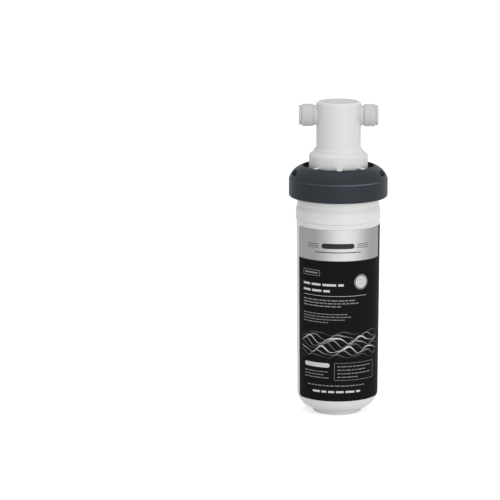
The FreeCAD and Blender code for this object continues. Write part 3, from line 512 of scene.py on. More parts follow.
@dataclass(frozen=True)
class Finish:
    """A surface finish. Its material is made once and shared by the pieces that wear it.

    Attributes:
        name: The material's name.
        colour: Its mean colour.
        roughness: Its mean roughness.
        textures: What varies over it.
        even: The shader's inputs that are the same all over, by name with _ for a space.
    """

    name: str
    colour: Point3
    roughness: float
    textures: Sequence[Texture]
    even: dict[str, Any] = field(default_factory=dict)

    def material(self) -> bpy.types.Material:
        """Returns the finish's material, made at the first call."""
        if self.name not in _made:
            made = _made[self.name] = bpy.data.materials.new(self.name)
            made.use_nodes = True
            recipe = Recipe(made.node_tree)
            shader = recipe.add("BsdfPrincipled", Roughness=self.roughness, **self.even)
            recipe.add("OutputMaterial", shader.outputs["BSDF"])
            self.cook(recipe, shader)
        return _made[self.name]

    def cook(self, recipe: Recipe, shader: bpy.types.Node) -> None:
        """Adds what varies over the surface.

        Args:
            recipe: The material's tree.
            shader: Its shader.
        """
        normal = None
        for texture in self.textures:
            height = texture.height(recipe)
            if texture.tone:
                low, high = (shade(self.colour, share) for share in texture.tone)
                recipe.feed(shader.inputs["Base Color"], self.marked(recipe, recipe.mixed(height, low, high)))
            if texture.gloss:
                low, high = (self.roughness + change for change in texture.gloss)
                gloss = recipe.mapped(height, NOISE_MIDDLE, (low, high), "LINEAR")
                recipe.feed(shader.inputs["Roughness"], gloss)
            if texture.depth:
                bump = recipe.add("Bump", Strength=1.0, Distance=texture.depth, Height=height)
                if normal is not None:
                    recipe.feed(bump.inputs["Normal"], normal)
                normal = bump.outputs["Normal"]
        if normal is not None:
            recipe.feed(shader.inputs["Normal"], normal)

    def marked(self, recipe: Recipe, tone: Socket) -> Socket:
        """Adds painted highlights to the colour so far and returns it. Most finishes have none."""
        return tone


@dataclass(frozen=True)
class RubbedPlastic(Finish):
    """Plastic with a painted highlight: a paler line round its front, where light catches the shoulder's
    crease.

    Attributes:
        pale: Share by which the line is paler.
        height: Height of the line above the floor.
        half: Half the line's height.
        fore: Where the line begins and ends to fade towards the back, along Y.
        aside: Where the painted highlight is strongest, on the lit +X side, and weakest, along X.
        least: Its strength at the weak side.
    """

    pale: float = 3.0
    height: float = 0.2455
    half: float = 0.001
    fore: Point = (-0.043, -0.022)
    aside: Point = (0.02, -0.02)
    least: float = 0.35

    def marked(self, recipe: Recipe, tone: Socket) -> Socket:
        """Paints the highlight by paling the colour along the line.

        Args:
            recipe: The material's tree.
            tone: The colour so far.

        Returns:
            The colour with the painted highlight.
        """
        place = recipe.add("SeparateXYZ", recipe.places()).outputs
        away = recipe.math("ABSOLUTE", recipe.math("SUBTRACT", place["Z"], self.height))
        total = recipe.mapped(away, (0.0, self.half), (1.0, 0.0))
        total = recipe.math("MULTIPLY", total, recipe.mapped(place["Y"], self.fore, (1.0, 0.0)))
        total = recipe.math("MULTIPLY", total, recipe.mapped(place["X"], self.aside, (1.0, self.least)))
        return recipe.mixed(total, tone, shade(self.colour, 1.0 + self.pale))


@dataclass(frozen=True)
class BrushedFoil(Finish):
    """Silver foil, brushed along the wrap, under a clear film, with a highlight painted into its colour.

    Attributes:
        fade: Share by which the silver's colour is paler in its painted highlight and darker at its ends.
        middle: Where the painted highlight is palest, in metres round the wrap from the front.
        reach: How far from there the fade begins and ends.
    """

    fade: float = 0.24
    middle: float = 0.007
    reach: Point = (0.006, 0.034)

    def cook(self, recipe: Recipe, shader: bpy.types.Node) -> None:
        """Adds the brushing's direction to what varies over the surface."""
        super().cook(recipe, shader)
        around = recipe.add("Tangent", direction_type="RADIAL", axis="Z")
        recipe.feed(shader.inputs["Tangent"], around.outputs["Tangent"])

    def marked(self, recipe: Recipe, tone: Socket) -> Socket:
        """Paints a highlight into the silver's colour, paler in its middle and darker at its ends.

        Args:
            recipe: The material's tree.
            tone: The colour so far.

        Returns:
            The colour with the painted highlight.
        """
        along = recipe.add("SeparateXYZ", recipe.places(wrap=True)).outputs["X"]
        away = recipe.math("ABSOLUTE", recipe.math("SUBTRACT", along, self.middle))
        level = recipe.mapped(away, self.reach, (1.0 + self.fade, 1.0 - self.fade))
        return recipe.add("VectorMath", tone, operation="SCALE", Scale=level).outputs["Vector"]


@dataclass(frozen=True)
class StudioPaper(Finish):
    """The studio's pale sweep. Seen directly or in a reflection it is white.

    Attributes:
        lift: Light that the sweep adds to what it reflects, for the rays that see it.
    """

    lift: float = 0.5

    def cook(self, recipe: Recipe, shader: bpy.types.Node) -> None:
        """Adds the lift to what varies over the surface."""
        super().cook(recipe, shader)
        recipe.feed(shader.inputs["Emission Strength"], recipe.math("MULTIPLY", recipe.seen(), self.lift))


def grained(mottle: float = 0.02, grain: float = 0.000012) -> tuple[Texture, ...]:
    """Moulded plastic: drifting colour, fine spark-eroded grain and faint flow marks.

    Args:
        mottle: Share by which the colour drifts over the piece.
        grain: Depth of the mould's grain in metres.

    Returns:
        The textures.
    """
    return (
        Texture(35.0, 2.0, tone=(1.0 - mottle, 1.0 + mottle)),
        Texture(2600.0, 2.0, depth=grain),
        Texture((60.0, 60.0, 9.0), 4.0, gloss=(-0.04, 0.05), depth=grain * 0.6),
    )


def lit(glow: float, specular: float = 0.5) -> dict[str, Any]:
    """White plastic's even inputs: light that scatters under the surface, and its reflection."""
    return {
        "Subsurface_Weight": glow,
        "Subsurface_Scale": 0.002,
        "Subsurface_Radius": (1.0, 0.95, 0.9),
        "Specular_IOR_Level": specular,
    }


def printed(name: str, colour: Point3, roughness: float = 0.42, specular: float = 0.2) -> Finish:
    """Ink under a clear film: an even colour with a fine print dot and a soft sheen.

    Args:
        name: The ink's name.
        colour: Its colour.
        roughness: The film's roughness.
        specular: Strength of the film's reflection.

    Returns:
        The finish.
    """
    cloud = Texture(45.0, gloss=(-0.03, 0.04), depth=0.00006)
    dots = Texture(5200.0, 1.0, tone=(0.93, 1.07), depth=0.000002)
    return Finish(name, colour, roughness, (cloud, dots), {"Specular_IOR_Level": specular})


SHELL_WHITE = Finish("shell_white", (0.695, 0.693, 0.693), 0.40, grained(0.008, 0.000006), lit(0.06))
HEAD_WHITE = Finish("head_white", (0.675, 0.672, 0.672), 0.45, grained(0.01), lit(0.06, 0.3))
# A darker copy of the head's white plastic: painted shade on the port stubs and the cap's disc.
HEAD_PAINTED_SHADE = Finish("head_painted_shade", (0.54, 0.538, 0.538), 0.45, grained(0.01), lit(0.05, 0.3))
PORT_WHITE = Finish("port_white", (0.50, 0.498, 0.498), 0.45, grained(0.01, 0.00001), lit(0.05))
INNER_WHITE = Finish("inner_white", (0.76, 0.76, 0.75), 0.48, grained(0.015))
# The paler line along the collar's crease is a painted highlight.
COLLAR_SLATE = RubbedPlastic(
    "collar_slate", (0.0285, 0.0352, 0.0418), 0.42, grained(0.05, 0.000014), {"Specular_IOR_Level": 0.07}
)
# The washer's black is partly its own colour and partly painted shade for the gap it fills.
WASHER_BLACK_AND_SHADE = Finish(
    "washer_black_and_shade", (0.006, 0.006, 0.007), 0.5, grained(0.1), {"Specular_IOR_Level": 0.25}
)
# The pale band in the silver near the front is a painted highlight.
FOIL_SILVER = BrushedFoil(
    "foil_silver",
    (0.38, 0.38, 0.38),
    0.45,
    (
        Texture((14.0, 5200.0, 1.0), tone=(0.94, 1.06), depth=0.000004, wrap=True),
        Texture((60.0, 60.0, 1.0), 2.0, gloss=(-0.03, 0.03), wrap=True),
    ),
    {"Metallic": 1.0, "Anisotropic": 0.7},
)
LABEL_BLACK = printed("label_black", (0.0092, 0.0092, 0.0096), 0.5, 0.012)
INK_LIGHT = printed("ink_light", (0.58, 0.58, 0.58))
INK_GREY = printed("ink_grey", (0.22, 0.22, 0.225))
INK_FAINT = printed("ink_faint", (0.085, 0.085, 0.088))
INK_DARK = printed("ink_dark", (0.014, 0.014, 0.015))
RUBBER_BLACK = Finish(
    "rubber_black",
    (0.014, 0.014, 0.014),
    0.62,
    (Texture(3400.0, 4.0, gloss=(-0.06, 0.06), depth=0.00001), Texture(220.0, tone=(1.0, 1.7))),
    {"Specular_IOR_Level": 0.35},
)
SPRING_STEEL = Finish(
    "spring_steel",
    (0.56, 0.565, 0.57),
    0.28,
    (Texture((900.0, 900.0, 160.0), 4.0, tone=(0.86, 1.1), gloss=(-0.05, 0.08), depth=0.000004),),
    {"Metallic": 1.0},
)
CARBON_BLACK = Finish(
    "carbon_black",
    (0.018, 0.018, 0.018),
    0.9,
    (Texture(1300.0, depth=0.0002, cells=True), Texture(900.0, 4.0, tone=(0.55, 1.8), depth=0.0001)),
)
CLOTH_WHITE = Finish(
    "cloth_white",
    (0.78, 0.78, 0.76),
    0.85,
    (
        Texture((300.0, 300.0, 2600.0), 4.0, tone=(0.88, 1.06), depth=0.00008),
        Texture((2400.0, 2400.0, 260.0), 4.0, depth=0.00008),
    ),
    {"Sheen_Weight": 0.3},
)
PAPER_WHITE = StudioPaper(
    "paper_white",
    (0.86, 0.86, 0.86),
    0.9,
    (Texture(800.0, tone=(0.995, 1.0)),),
    {"Specular_IOR_Level": 0.0, "Emission_Color": (1.0, 1.0, 1.0, 1.0)},
)


# Studio


class Lamp(NamedTuple):
    """A soft lamp that points at the middle of the filter.

    Attributes:
        name: The lamp's name.
        azimuth: Degrees round from the front, towards +X.
        elevation: Degrees above the level.
        distance: Metres from the filter's middle.
        size: Width and height in metres.
        power: Watts.
    """

    name: str
    azimuth: float
    elevation: float
    distance: float
    size: Point
    power: float


@dataclass
class Studio:
    """The floor, the soft light and the camera at the photograph's viewing angle.

    The camera's place was found from the ellipses of the head, the collar and the foot.
    """

    image_width: float = 500.0
    camera_distance: float = 2.9
    camera_height: float = 0.73
    camera_pitch: float = 11.12
    camera_roll: float = 0.3
    focal_pixels: float = 2852.0
    axis_column: float = 337.9
    horizon_row: float = 259.2
    sensor: float = 36.0
    floor_half: float = 40.0
    floor_steps: int = 12
    floor_drop: float = 0.0002
    world_level: float = 0.60
    aim: Point3 = (0.0, 0.0, 0.17)
    clip: Point = (0.1, 60.0)
    lamps: Sequence[Lamp] = (
        Lamp("key", 22.0, 8.0, 1.5, (1.2, 1.3), 11.3),
        Lamp("side", 66.0, 6.0, 1.5, (0.4, 1.3), 0.7),
        Lamp("back", 140.0, 8.0, 1.8, (0.8, 1.3), 1.2),
        Lamp("top", 0.0, 85.0, 1.6, (1.2, 1.2), 7.7),
    )

    def build(self) -> None:
        """Makes the whole studio."""
        self._camera()
        self._floor()
        self._world()
        for lamp in self.lamps:
            self._lamp(lamp)
        bpy.context.scene.view_settings.view_transform = "Standard"

    def _camera(self) -> None:
        """Makes the camera with the photograph's framing."""
        data = bpy.data.cameras.new("camera")
        data.sensor_width = self.sensor
        data.lens = self.focal_pixels / self.image_width * self.sensor
        data.shift_x = (self.image_width / 2.0 - self.axis_column) / self.image_width
        data.shift_y = (self.horizon_row - self.image_width / 2.0) / self.image_width
        data.clip_start, data.clip_end = self.clip
        camera = placed("camera", data)
        camera.location = (0.0, -self.camera_distance, self.camera_height)
        tilt = Matrix.Rotation(radians(90.0 - self.camera_pitch), 3, "X")
        camera.rotation_euler = (tilt @ Matrix.Rotation(radians(self.camera_roll), 3, "Z")).to_euler()
        bpy.context.scene.camera = camera

    def _floor(self) -> None:
        """Makes the sweep that the filter stands on."""
        mesh = bmesh.new()
        steps = range(self.floor_steps + 1)
        lines = [self.floor_half * (2.0 * step / self.floor_steps - 1.0) for step in steps]
        fill(mesh, [[mesh.verts.new((x, y, -self.floor_drop)) for x in lines] for y in lines], False, False)
        floor = placed("floor", mesh)
        floor.data.materials.append(PAPER_WHITE.material())

    def _world(self) -> None:
        """Makes the even surround: white where it is seen, softer where it lights the part."""
        world = bpy.data.worlds.new("surround")
        world.use_nodes = True
        recipe = Recipe(world.node_tree)
        level = recipe.mapped(recipe.seen(), (0.0, 1.0), (self.world_level, 1.0), "LINEAR")
        light = recipe.add("Background", (1.0, 1.0, 1.0, 1.0), level)
        recipe.add("OutputWorld", light.outputs["Background"])
        bpy.context.scene.world = world

    def _lamp(self, lamp: Lamp) -> None:
        """Makes a lamp."""
        data = bpy.data.lights.new(lamp.name, "AREA")
        data.shape = "RECTANGLE"
        data.size, data.size_y = lamp.size
        data.energy = lamp.power
        thing = placed(lamp.name, data)
        turn, rise = radians(lamp.azimuth), radians(lamp.elevation)
        away = Vector((sin(turn) * cos(rise), -cos(turn) * cos(rise), sin(rise)))
        thing.location = Vector(self.aim) + away * lamp.distance
        thing.rotation_euler = (-away).to_track_quat("-Z", "Y").to_euler()


# Cartridge


@dataclass
class CartridgeShell:
    """The white sump: a drafted wall on a round bottom with a foot ring."""

    foot_radius: float = 25.2 * MM
    foot_round: float = 1.3 * MM
    foot_crease: float = 0.9 * MM
    recess_radius: float = 17.0 * MM
    recess_depth: float = 1.2 * MM
    recess_round: float = 0.5 * MM
    base_radius: float = 41.8 * MM
    bottom_round: float = 17.5 * MM
    foot_height: float = 4.5 * MM
    wall: float = 2.8 * MM
    rim_round: float = 0.4 * MM
    top_radius: float = boxed("cartridge_shell", 1, "x")
    top: float = boxed("cartridge_shell", 1, "z")

    @property
    def bend_top(self) -> float:
        """Height at which the bottom's round meets the wall."""
        return self.foot_height + self.bottom_round

    def radius_at(self, height: float) -> float:
        """The wall's outer radius at a height."""
        if height >= self.bend_top:
            share = (height - self.bend_top) / (self.top - self.bend_top)
            return self.base_radius + (self.top_radius - self.base_radius) * share
        return self.base_radius - self.bottom_round + half_chord(self.bottom_round, self.bend_top - height)

    def build(self) -> None:
        """Makes the shell."""
        piece = Piece("shell", Body.CARTRIDGE, Slot.SHELL, [SHELL_WHITE], ["cartridge_shell"])
        root = self.base_radius - self.bottom_round
        foot_top = self.bend_top - half_chord(self.bottom_round, self.foot_radius - root)
        inner_floor = self.foot_height + self.wall
        piece.upright(
            (0.0, self.recess_depth),
            (self.recess_radius - self.recess_round, self.recess_depth, self.recess_round),
            (self.recess_radius, 0.0, self.recess_round),
            (self.foot_radius - self.foot_round, 0.0),
            (self.foot_radius, self.foot_round, 0.0, self.foot_round),
            (self.foot_radius, foot_top, self.foot_crease),
            (self.base_radius, self.bend_top, 0.0, self.bottom_round),
            (self.top_radius, self.top, self.rim_round),
            (self.top_radius - self.wall, self.top),
            (self.base_radius - self.wall, self.bend_top),
            (root, inner_floor, 0.0, self.wall - self.bottom_round),
            (0.0, inner_floor),
            closed=False,
        )
        piece.done()


@dataclass
class CartridgeEndCap:
    """The cartridge's top: band and neck outside, crown with its lugs inside the collar."""

    shell: CartridgeShell
    band_overhang: float = 1.0 * MM
    band_draft: float = 0.5 * MM
    band_round: float = 1.2 * MM
    weld_groove: float = 0.14 * MM
    weld_fit: float = 0.05 * MM
    band_height: float = 13.5 * MM
    neck_step: float = 1.3 * MM
    neck_slope: float = 2.8 * MM
    neck_ease: float = 1.5 * MM
    neck_height: float = 11.5 * MM
    crown_step: float = 4.15 * MM
    crown_height: float = 19.0 * MM
    crown_wall: float = 3.0 * MM
    crown_round: float = 1.5 * MM
    ceiling: float = 30.0 * MM
    spigot_radius: float = 17.3 * MM
    spigot_height: float = 28.0 * MM
    spigot_wall: float = 3.8 * MM
    nipple_radius: float = 5.2 * MM
    nipple_bore: float = 3.2 * MM
    easing: float = 0.45 * MM
    lug_count: int = 3
    lug_angle: float = radians(22.0)
    lug_steps: int = 8
    lug_height: float = 5.0 * MM
    lug_rise: float = 1.467 * MM
    lug_reach: float = 4.55 * MM
    lug_base: float = 236.25 * MM
    lug_round: float = 0.6 * MM

    def build(self) -> None:
        """Makes the end cap."""
        piece = Piece("end_cap", Body.CARTRIDGE, Slot.SHELL, [SHELL_WHITE], ["cartridge_end_cap"])
        joint = self.shell.top
        band = self.shell.top_radius + self.band_overhang
        band_top = band - self.band_draft
        neck = band_top - self.neck_step
        crown = neck - self.crown_step
        inner = crown - self.crown_wall
        z_neck = joint + self.band_height
        z_crown = z_neck + self.neck_height
        z_top = z_crown + self.crown_height
        z_spigot = z_top + self.spigot_height
        z_nipple = z_top + 1.5 * self.spigot_height
        groove = self.shell.top_radius - self.weld_groove
        piece.upright(
            (self.nipple_bore, joint + self.ceiling),
            (inner, joint + self.ceiling),
            (inner, z_neck),
            (groove - self.crown_wall, joint + self.weld_fit),
            (groove, joint + self.weld_fit),
            (groove, joint + self.weld_groove),
            (band, joint + self.weld_groove, self.band_round),
            (band_top, z_neck - 0.6 * self.neck_slope, self.neck_ease),
            (neck, z_neck + 0.4 * self.neck_slope, self.neck_ease),
            (neck, z_crown, self.easing),
            (crown, z_crown, self.easing),
            (crown, z_top, self.crown_round),
            (self.spigot_radius, z_top, self.easing),
            (self.spigot_radius, z_spigot, self.easing),
            (self.spigot_radius - self.spigot_wall, z_spigot, self.easing),
            (self.spigot_radius - self.spigot_wall, z_top),
            (self.nipple_radius, z_top),
            (self.nipple_radius, z_nipple, self.easing),
            (self.nipple_bore, z_nipple, self.easing),
        )
        for index in range(self.lug_count):
            self._lug(piece.mesh, tau * index / self.lug_count, crown - self.crown_wall / 2.0, neck)
        piece.done()

    def _lug(self, mesh: Mesh, middle: float, inner: float, neck: float) -> None:
        """Adds one bayonet lug, whose underside climbs with the collar's ramp.

        Args:
            mesh: The mesh to add to.
            middle: The lug's angle about Z.
            inner: The radius at which it is rooted.
            neck: The neck's radius, from which the lug's reach is measured.
        """
        outer = neck + self.lug_reach
        rows = []
        for step in range(self.lug_steps + 1):
            share = step / self.lug_steps
            angle = middle + self.lug_angle * (share - 0.5)
            low = self.lug_base + self.lug_rise * (0.5 - share)
            high = low + self.lug_height
            edge = self.lug_round
            section = trace(((inner, low), (outer, low, edge), (outer, high, edge), (inner, high)), True)
            rows.append([mesh.verts.new(about_z(*point, angle)) for point in section])
        fill(mesh, rows, caps=(0, -1))


# Wrap


@dataclass
class Wrap:
    """The printed film: a thin closed sheet, black with a silver panel above."""

    shell: CartridgeShell
    start: float = radians(-68.0)
    sweep: float = radians(273.0)
    low: float = 18.5 * MM
    high: float = 198.2 * MM
    gap: float = 0.1 * MM
    thickness: float = 0.25 * MM
    corner: float = 3.5 * MM
    corner_zone: float = radians(10.0)
    foil_low: float = 166.1 * MM
    foil_end: float = radians(72.7)
    mean_radius: float = 42.2 * MM
    column: float = radians(1.6)
    corner_rows: int = 6
    black_rows: int = 20
    foil_rows: int = 4

    def place(self, azimuth: float, height: float, lift: float) -> Vector:
        """Finds a point on the wrap.

        Args:
            azimuth: Angle round from the front, towards +X.
            height: Height above the floor.
            lift: Distance above the wrap's outer face, negative below it.

        Returns:
            The point in the part's frame.
        """
        radius = self.shell.radius_at(height) + self.gap + self.thickness + lift
        return Vector((radius * sin(azimuth), -radius * cos(azimuth), height))

    def build(self) -> None:
        """Makes the sheet."""
        films = [LABEL_BLACK, FOIL_SILVER]
        piece = Piece("wrap_film", Body.CARTRIDGE, Slot.LABEL, films, ["cartridge_label"])
        mesh = piece.mesh
        flat = mesh.loops.layers.uv.new("wrap")
        places: dict[Vert, Point] = {}
        sheets = []
        for lift in (0.0, -self.thickness):
            rows = []
            for height in self._heights():
                rows.append([])
                for azimuth in self._columns():
                    shifted = self._shifted(azimuth, self._inset(height))
                    vertex = mesh.verts.new(self.place(shifted, height, lift))
                    places[vertex] = (shifted * self.mean_radius, height)
                    rows[-1].append(vertex)
            sheets.append(rows)
        outer, _ = (fill(mesh, rows, round_rows=False) for rows in sheets)
        fill(mesh, [self._rim(rows) for rows in sheets])
        for face in outer:
            middle = face.calc_center_median()
            if middle.z > self.foil_low and self.start < atan2(middle.x, -middle.y) < self.foil_end:
                face.material_index = 1
        for face in mesh.faces:
            for loop in face.loops:
                loop[flat].uv = places[loop.vert]
        piece.done()

    def _inset(self, height: float) -> float:
        """How far the rounded corners draw in the wrap's ends at a height, as an angle."""
        edge = min(height - self.low, self.high - height)
        return (self.corner - half_chord(self.corner, max(self.corner - edge, 0.0))) / self.mean_radius

    def _heights(self) -> list[float]:
        """The heights of the sheet's rows, closer together at its corners and over the bend."""
        turns = [radians(90.0 * step / self.corner_rows) for step in range(self.corner_rows + 1)]
        bottom = [self.low + self.corner * (1.0 - cos(turn)) for turn in turns]
        top = [self.high - (height - self.low) for height in reversed(bottom)]
        bend, black, foil = self.shell.bend_top, self.black_rows, self.foil_rows
        middle = [bend + (self.foil_low - bend) * step / black for step in range(black + 1)]
        upper = [self.foil_low + (top[0] - self.foil_low) * step / foil for step in range(1, foil)]
        return bottom + middle + upper + top

    def _columns(self) -> list[float]:
        """The azimuths of the sheet's columns, with one at the silver panel's end."""
        span, rest = self.foil_end - self.start, self.start + self.sweep - self.foil_end
        left, right = round(span / self.column), round(rest / self.column)
        first = [self.start + span * step / left for step in range(left)]
        return first + [self.foil_end + rest * step / right for step in range(right + 1)]

    def _shifted(self, azimuth: float, inset: float) -> float:
        """Draws in the columns near the wrap's ends by the rounded corner's inset."""
        from_start = azimuth - self.start
        from_end = self.start + self.sweep - azimuth
        if from_start < self.corner_zone:
            return azimuth + inset * (1.0 - from_start / self.corner_zone)
        if from_end < self.corner_zone:
            return azimuth - inset * (1.0 - from_end / self.corner_zone)
        return azimuth

    @staticmethod
    def _rim(rows: Sequence[Sequence[Vert]]) -> list[Vert]:
        """The vertices round a sheet's edge, in order."""
        sides = [row[-1] for row in rows[1:]], [row[0] for row in reversed(rows[1:-1])]
        return [*rows[0], *sides[0], *reversed(rows[-1][:-1]), *sides[1]]


class Print:
    """Raised print in one ink. Every mark is a thin closed ribbon that follows the wrap.

    The marks are placed in millimetres round the wrap from the front and above the floor.
    """

    LIFT = 0.04 * MM
    ROOT = -0.08 * MM
    STEP = 1.2 * MM
    RING_STEPS = 24

    def __init__(self, name: str, ink: Finish, wrap: Wrap) -> None:
        """Starts a piece of print with its name, the finish of its ink and the wrap it lies on."""
        self.wrap = wrap
        self.piece = Piece(name, Body.CARTRIDGE, Slot.LABEL, [ink])

    def _ribbon(self, line: Sequence[Point], half_widths: Sequence[float], closed: bool = False) -> None:
        """Adds a ribbon, in metres.

        Args:
            line: The middle of the ribbon as (distance round the wrap, height).
            half_widths: Half its width at each point.
            closed: True if its ends join.
        """
        rows = []
        for index, (along, up) in enumerate(line):
            before = line[index - 1] if closed or index else line[index]
            after = line[(index + 1) % len(line)] if closed or index + 1 < len(line) else line[index]
            run = (after[0] - before[0], after[1] - before[1])
            half = half_widths[index] / hypot(*run)
            side = (-run[1] * half, run[0] * half)
            rows.append([])
            for sign, lift in ((1, self.LIFT), (-1, self.LIFT), (-1, self.ROOT), (1, self.ROOT)):
                azimuth = (along + sign * side[0]) / self.wrap.mean_radius
                place = self.wrap.place(azimuth, up + sign * side[1], lift)
                rows[-1].append(self.piece.mesh.verts.new(place))
        fill(self.piece.mesh, rows, closed, caps=() if closed else (0, -1))

    def _bar(self, along: float, up: float, length: float, height: float, rounded: bool = False) -> None:
        """Adds a level bar as bar does, in metres."""
        half = height / 2.0
        steps = max(1, ceil(length / self.STEP))
        stations = [length * step / steps for step in range(steps + 1)]
        if rounded:
            ends = [half * 0.02, *(half * (1.0 - cos(radians(18.0 * step))) for step in range(1, 6))]
            inner = [station for station in stations if half < station < length - half]
            stations = sorted({*ends, *inner, *(length - end for end in ends)})
        widths = [half] * len(stations)
        if rounded:
            edges = (min(station, length - station) for station in stations)
            widths = [half_chord(half, max(half - edge, 0.0)) for edge in edges]
        self._ribbon([(along + station, up) for station in stations], widths)

    def bar(self, *place: float, rounded: bool = False) -> None:
        """Adds a level bar.

        Args:
            *place: Its left end, the height of its middle, its length and its height.
            rounded: True for round ends.
        """
        self._bar(*(number * MM for number in place), rounded)

    def ring(self, along: float, up: float, radius: float, width: float) -> None:
        """Adds a ring about a point of the wrap."""
        steps = max(self.RING_STEPS, ceil(tau * radius * MM / self.STEP))
        turns = [tau * step / steps for step in range(steps)]
        line = [((along + radius * cos(turn)) * MM, (up + radius * sin(turn)) * MM) for turn in turns]
        self._ribbon(line, [width / 2.0 * MM] * steps, closed=True)

    def frame(self, *place: float) -> None:
        """Adds a ruled box.

        Args:
            *place: Its lower left corner, its length, its height and the width of its lines.
        """
        along, up, length, height, width = (number * MM for number in place)
        self._bar(along, up, length, width)
        self._bar(along, up + height, length, width)
        steps = ceil(height / (4.0 * self.STEP))
        for edge in (along, along + length):
            inner = height - width
            line = [(edge, up + width / 2.0 + inner * step / steps) for step in range(steps + 1)]
            self._ribbon(line, [width / 2.0] * len(line))

    def wave(self, span: Point, up: float, swell: float, length: float, phase: float, width: float) -> None:
        """Adds a ripple whose width swells on its crests.

        Args:
            span: Where it starts and ends round the wrap.
            up: Its mean height.
            swell: Height of its crests.
            length: Distance from crest to crest.
            phase: Where its first crest lies, as an angle.
            width: Its greatest width.
        """
        start, end = span
        steps = ceil((end - start) * MM / self.STEP)
        line, widths = [], []
        for share in (step / steps for step in range(steps + 1)):
            along = start + (end - start) * share
            turn = tau * along / length + phase
            line.append((along * MM, (up + swell * (sin(turn) + 0.35 * sin(1.7 * turn + phase))) * MM))
            taper = sin(pi * share) ** 0.6 if 0.0 < share < 1.0 else 0.0
            widths.append(width / 2.0 * (0.12 + 0.88 * taper * (0.55 + 0.45 * sin(turn))) * MM)
        self._ribbon(line, widths)

    def words(self, along: float, up: float, length: float, height: float, chance: random.Random) -> None:
        """Adds a line of short bars with gaps, as a line of print looks from afar.

        Args:
            along: Where its left end is.
            up: Height of the line.
            length: Room for the line.
            height: Height of its bars.
            chance: Draws the bars' lengths.
        """
        end = along + length
        while along < end - height * 2.0:
            room = min(height * chance.uniform(2.2, 6.5), end - along)
            self.bar(along, up, room, height)
            along += room + height * 0.9


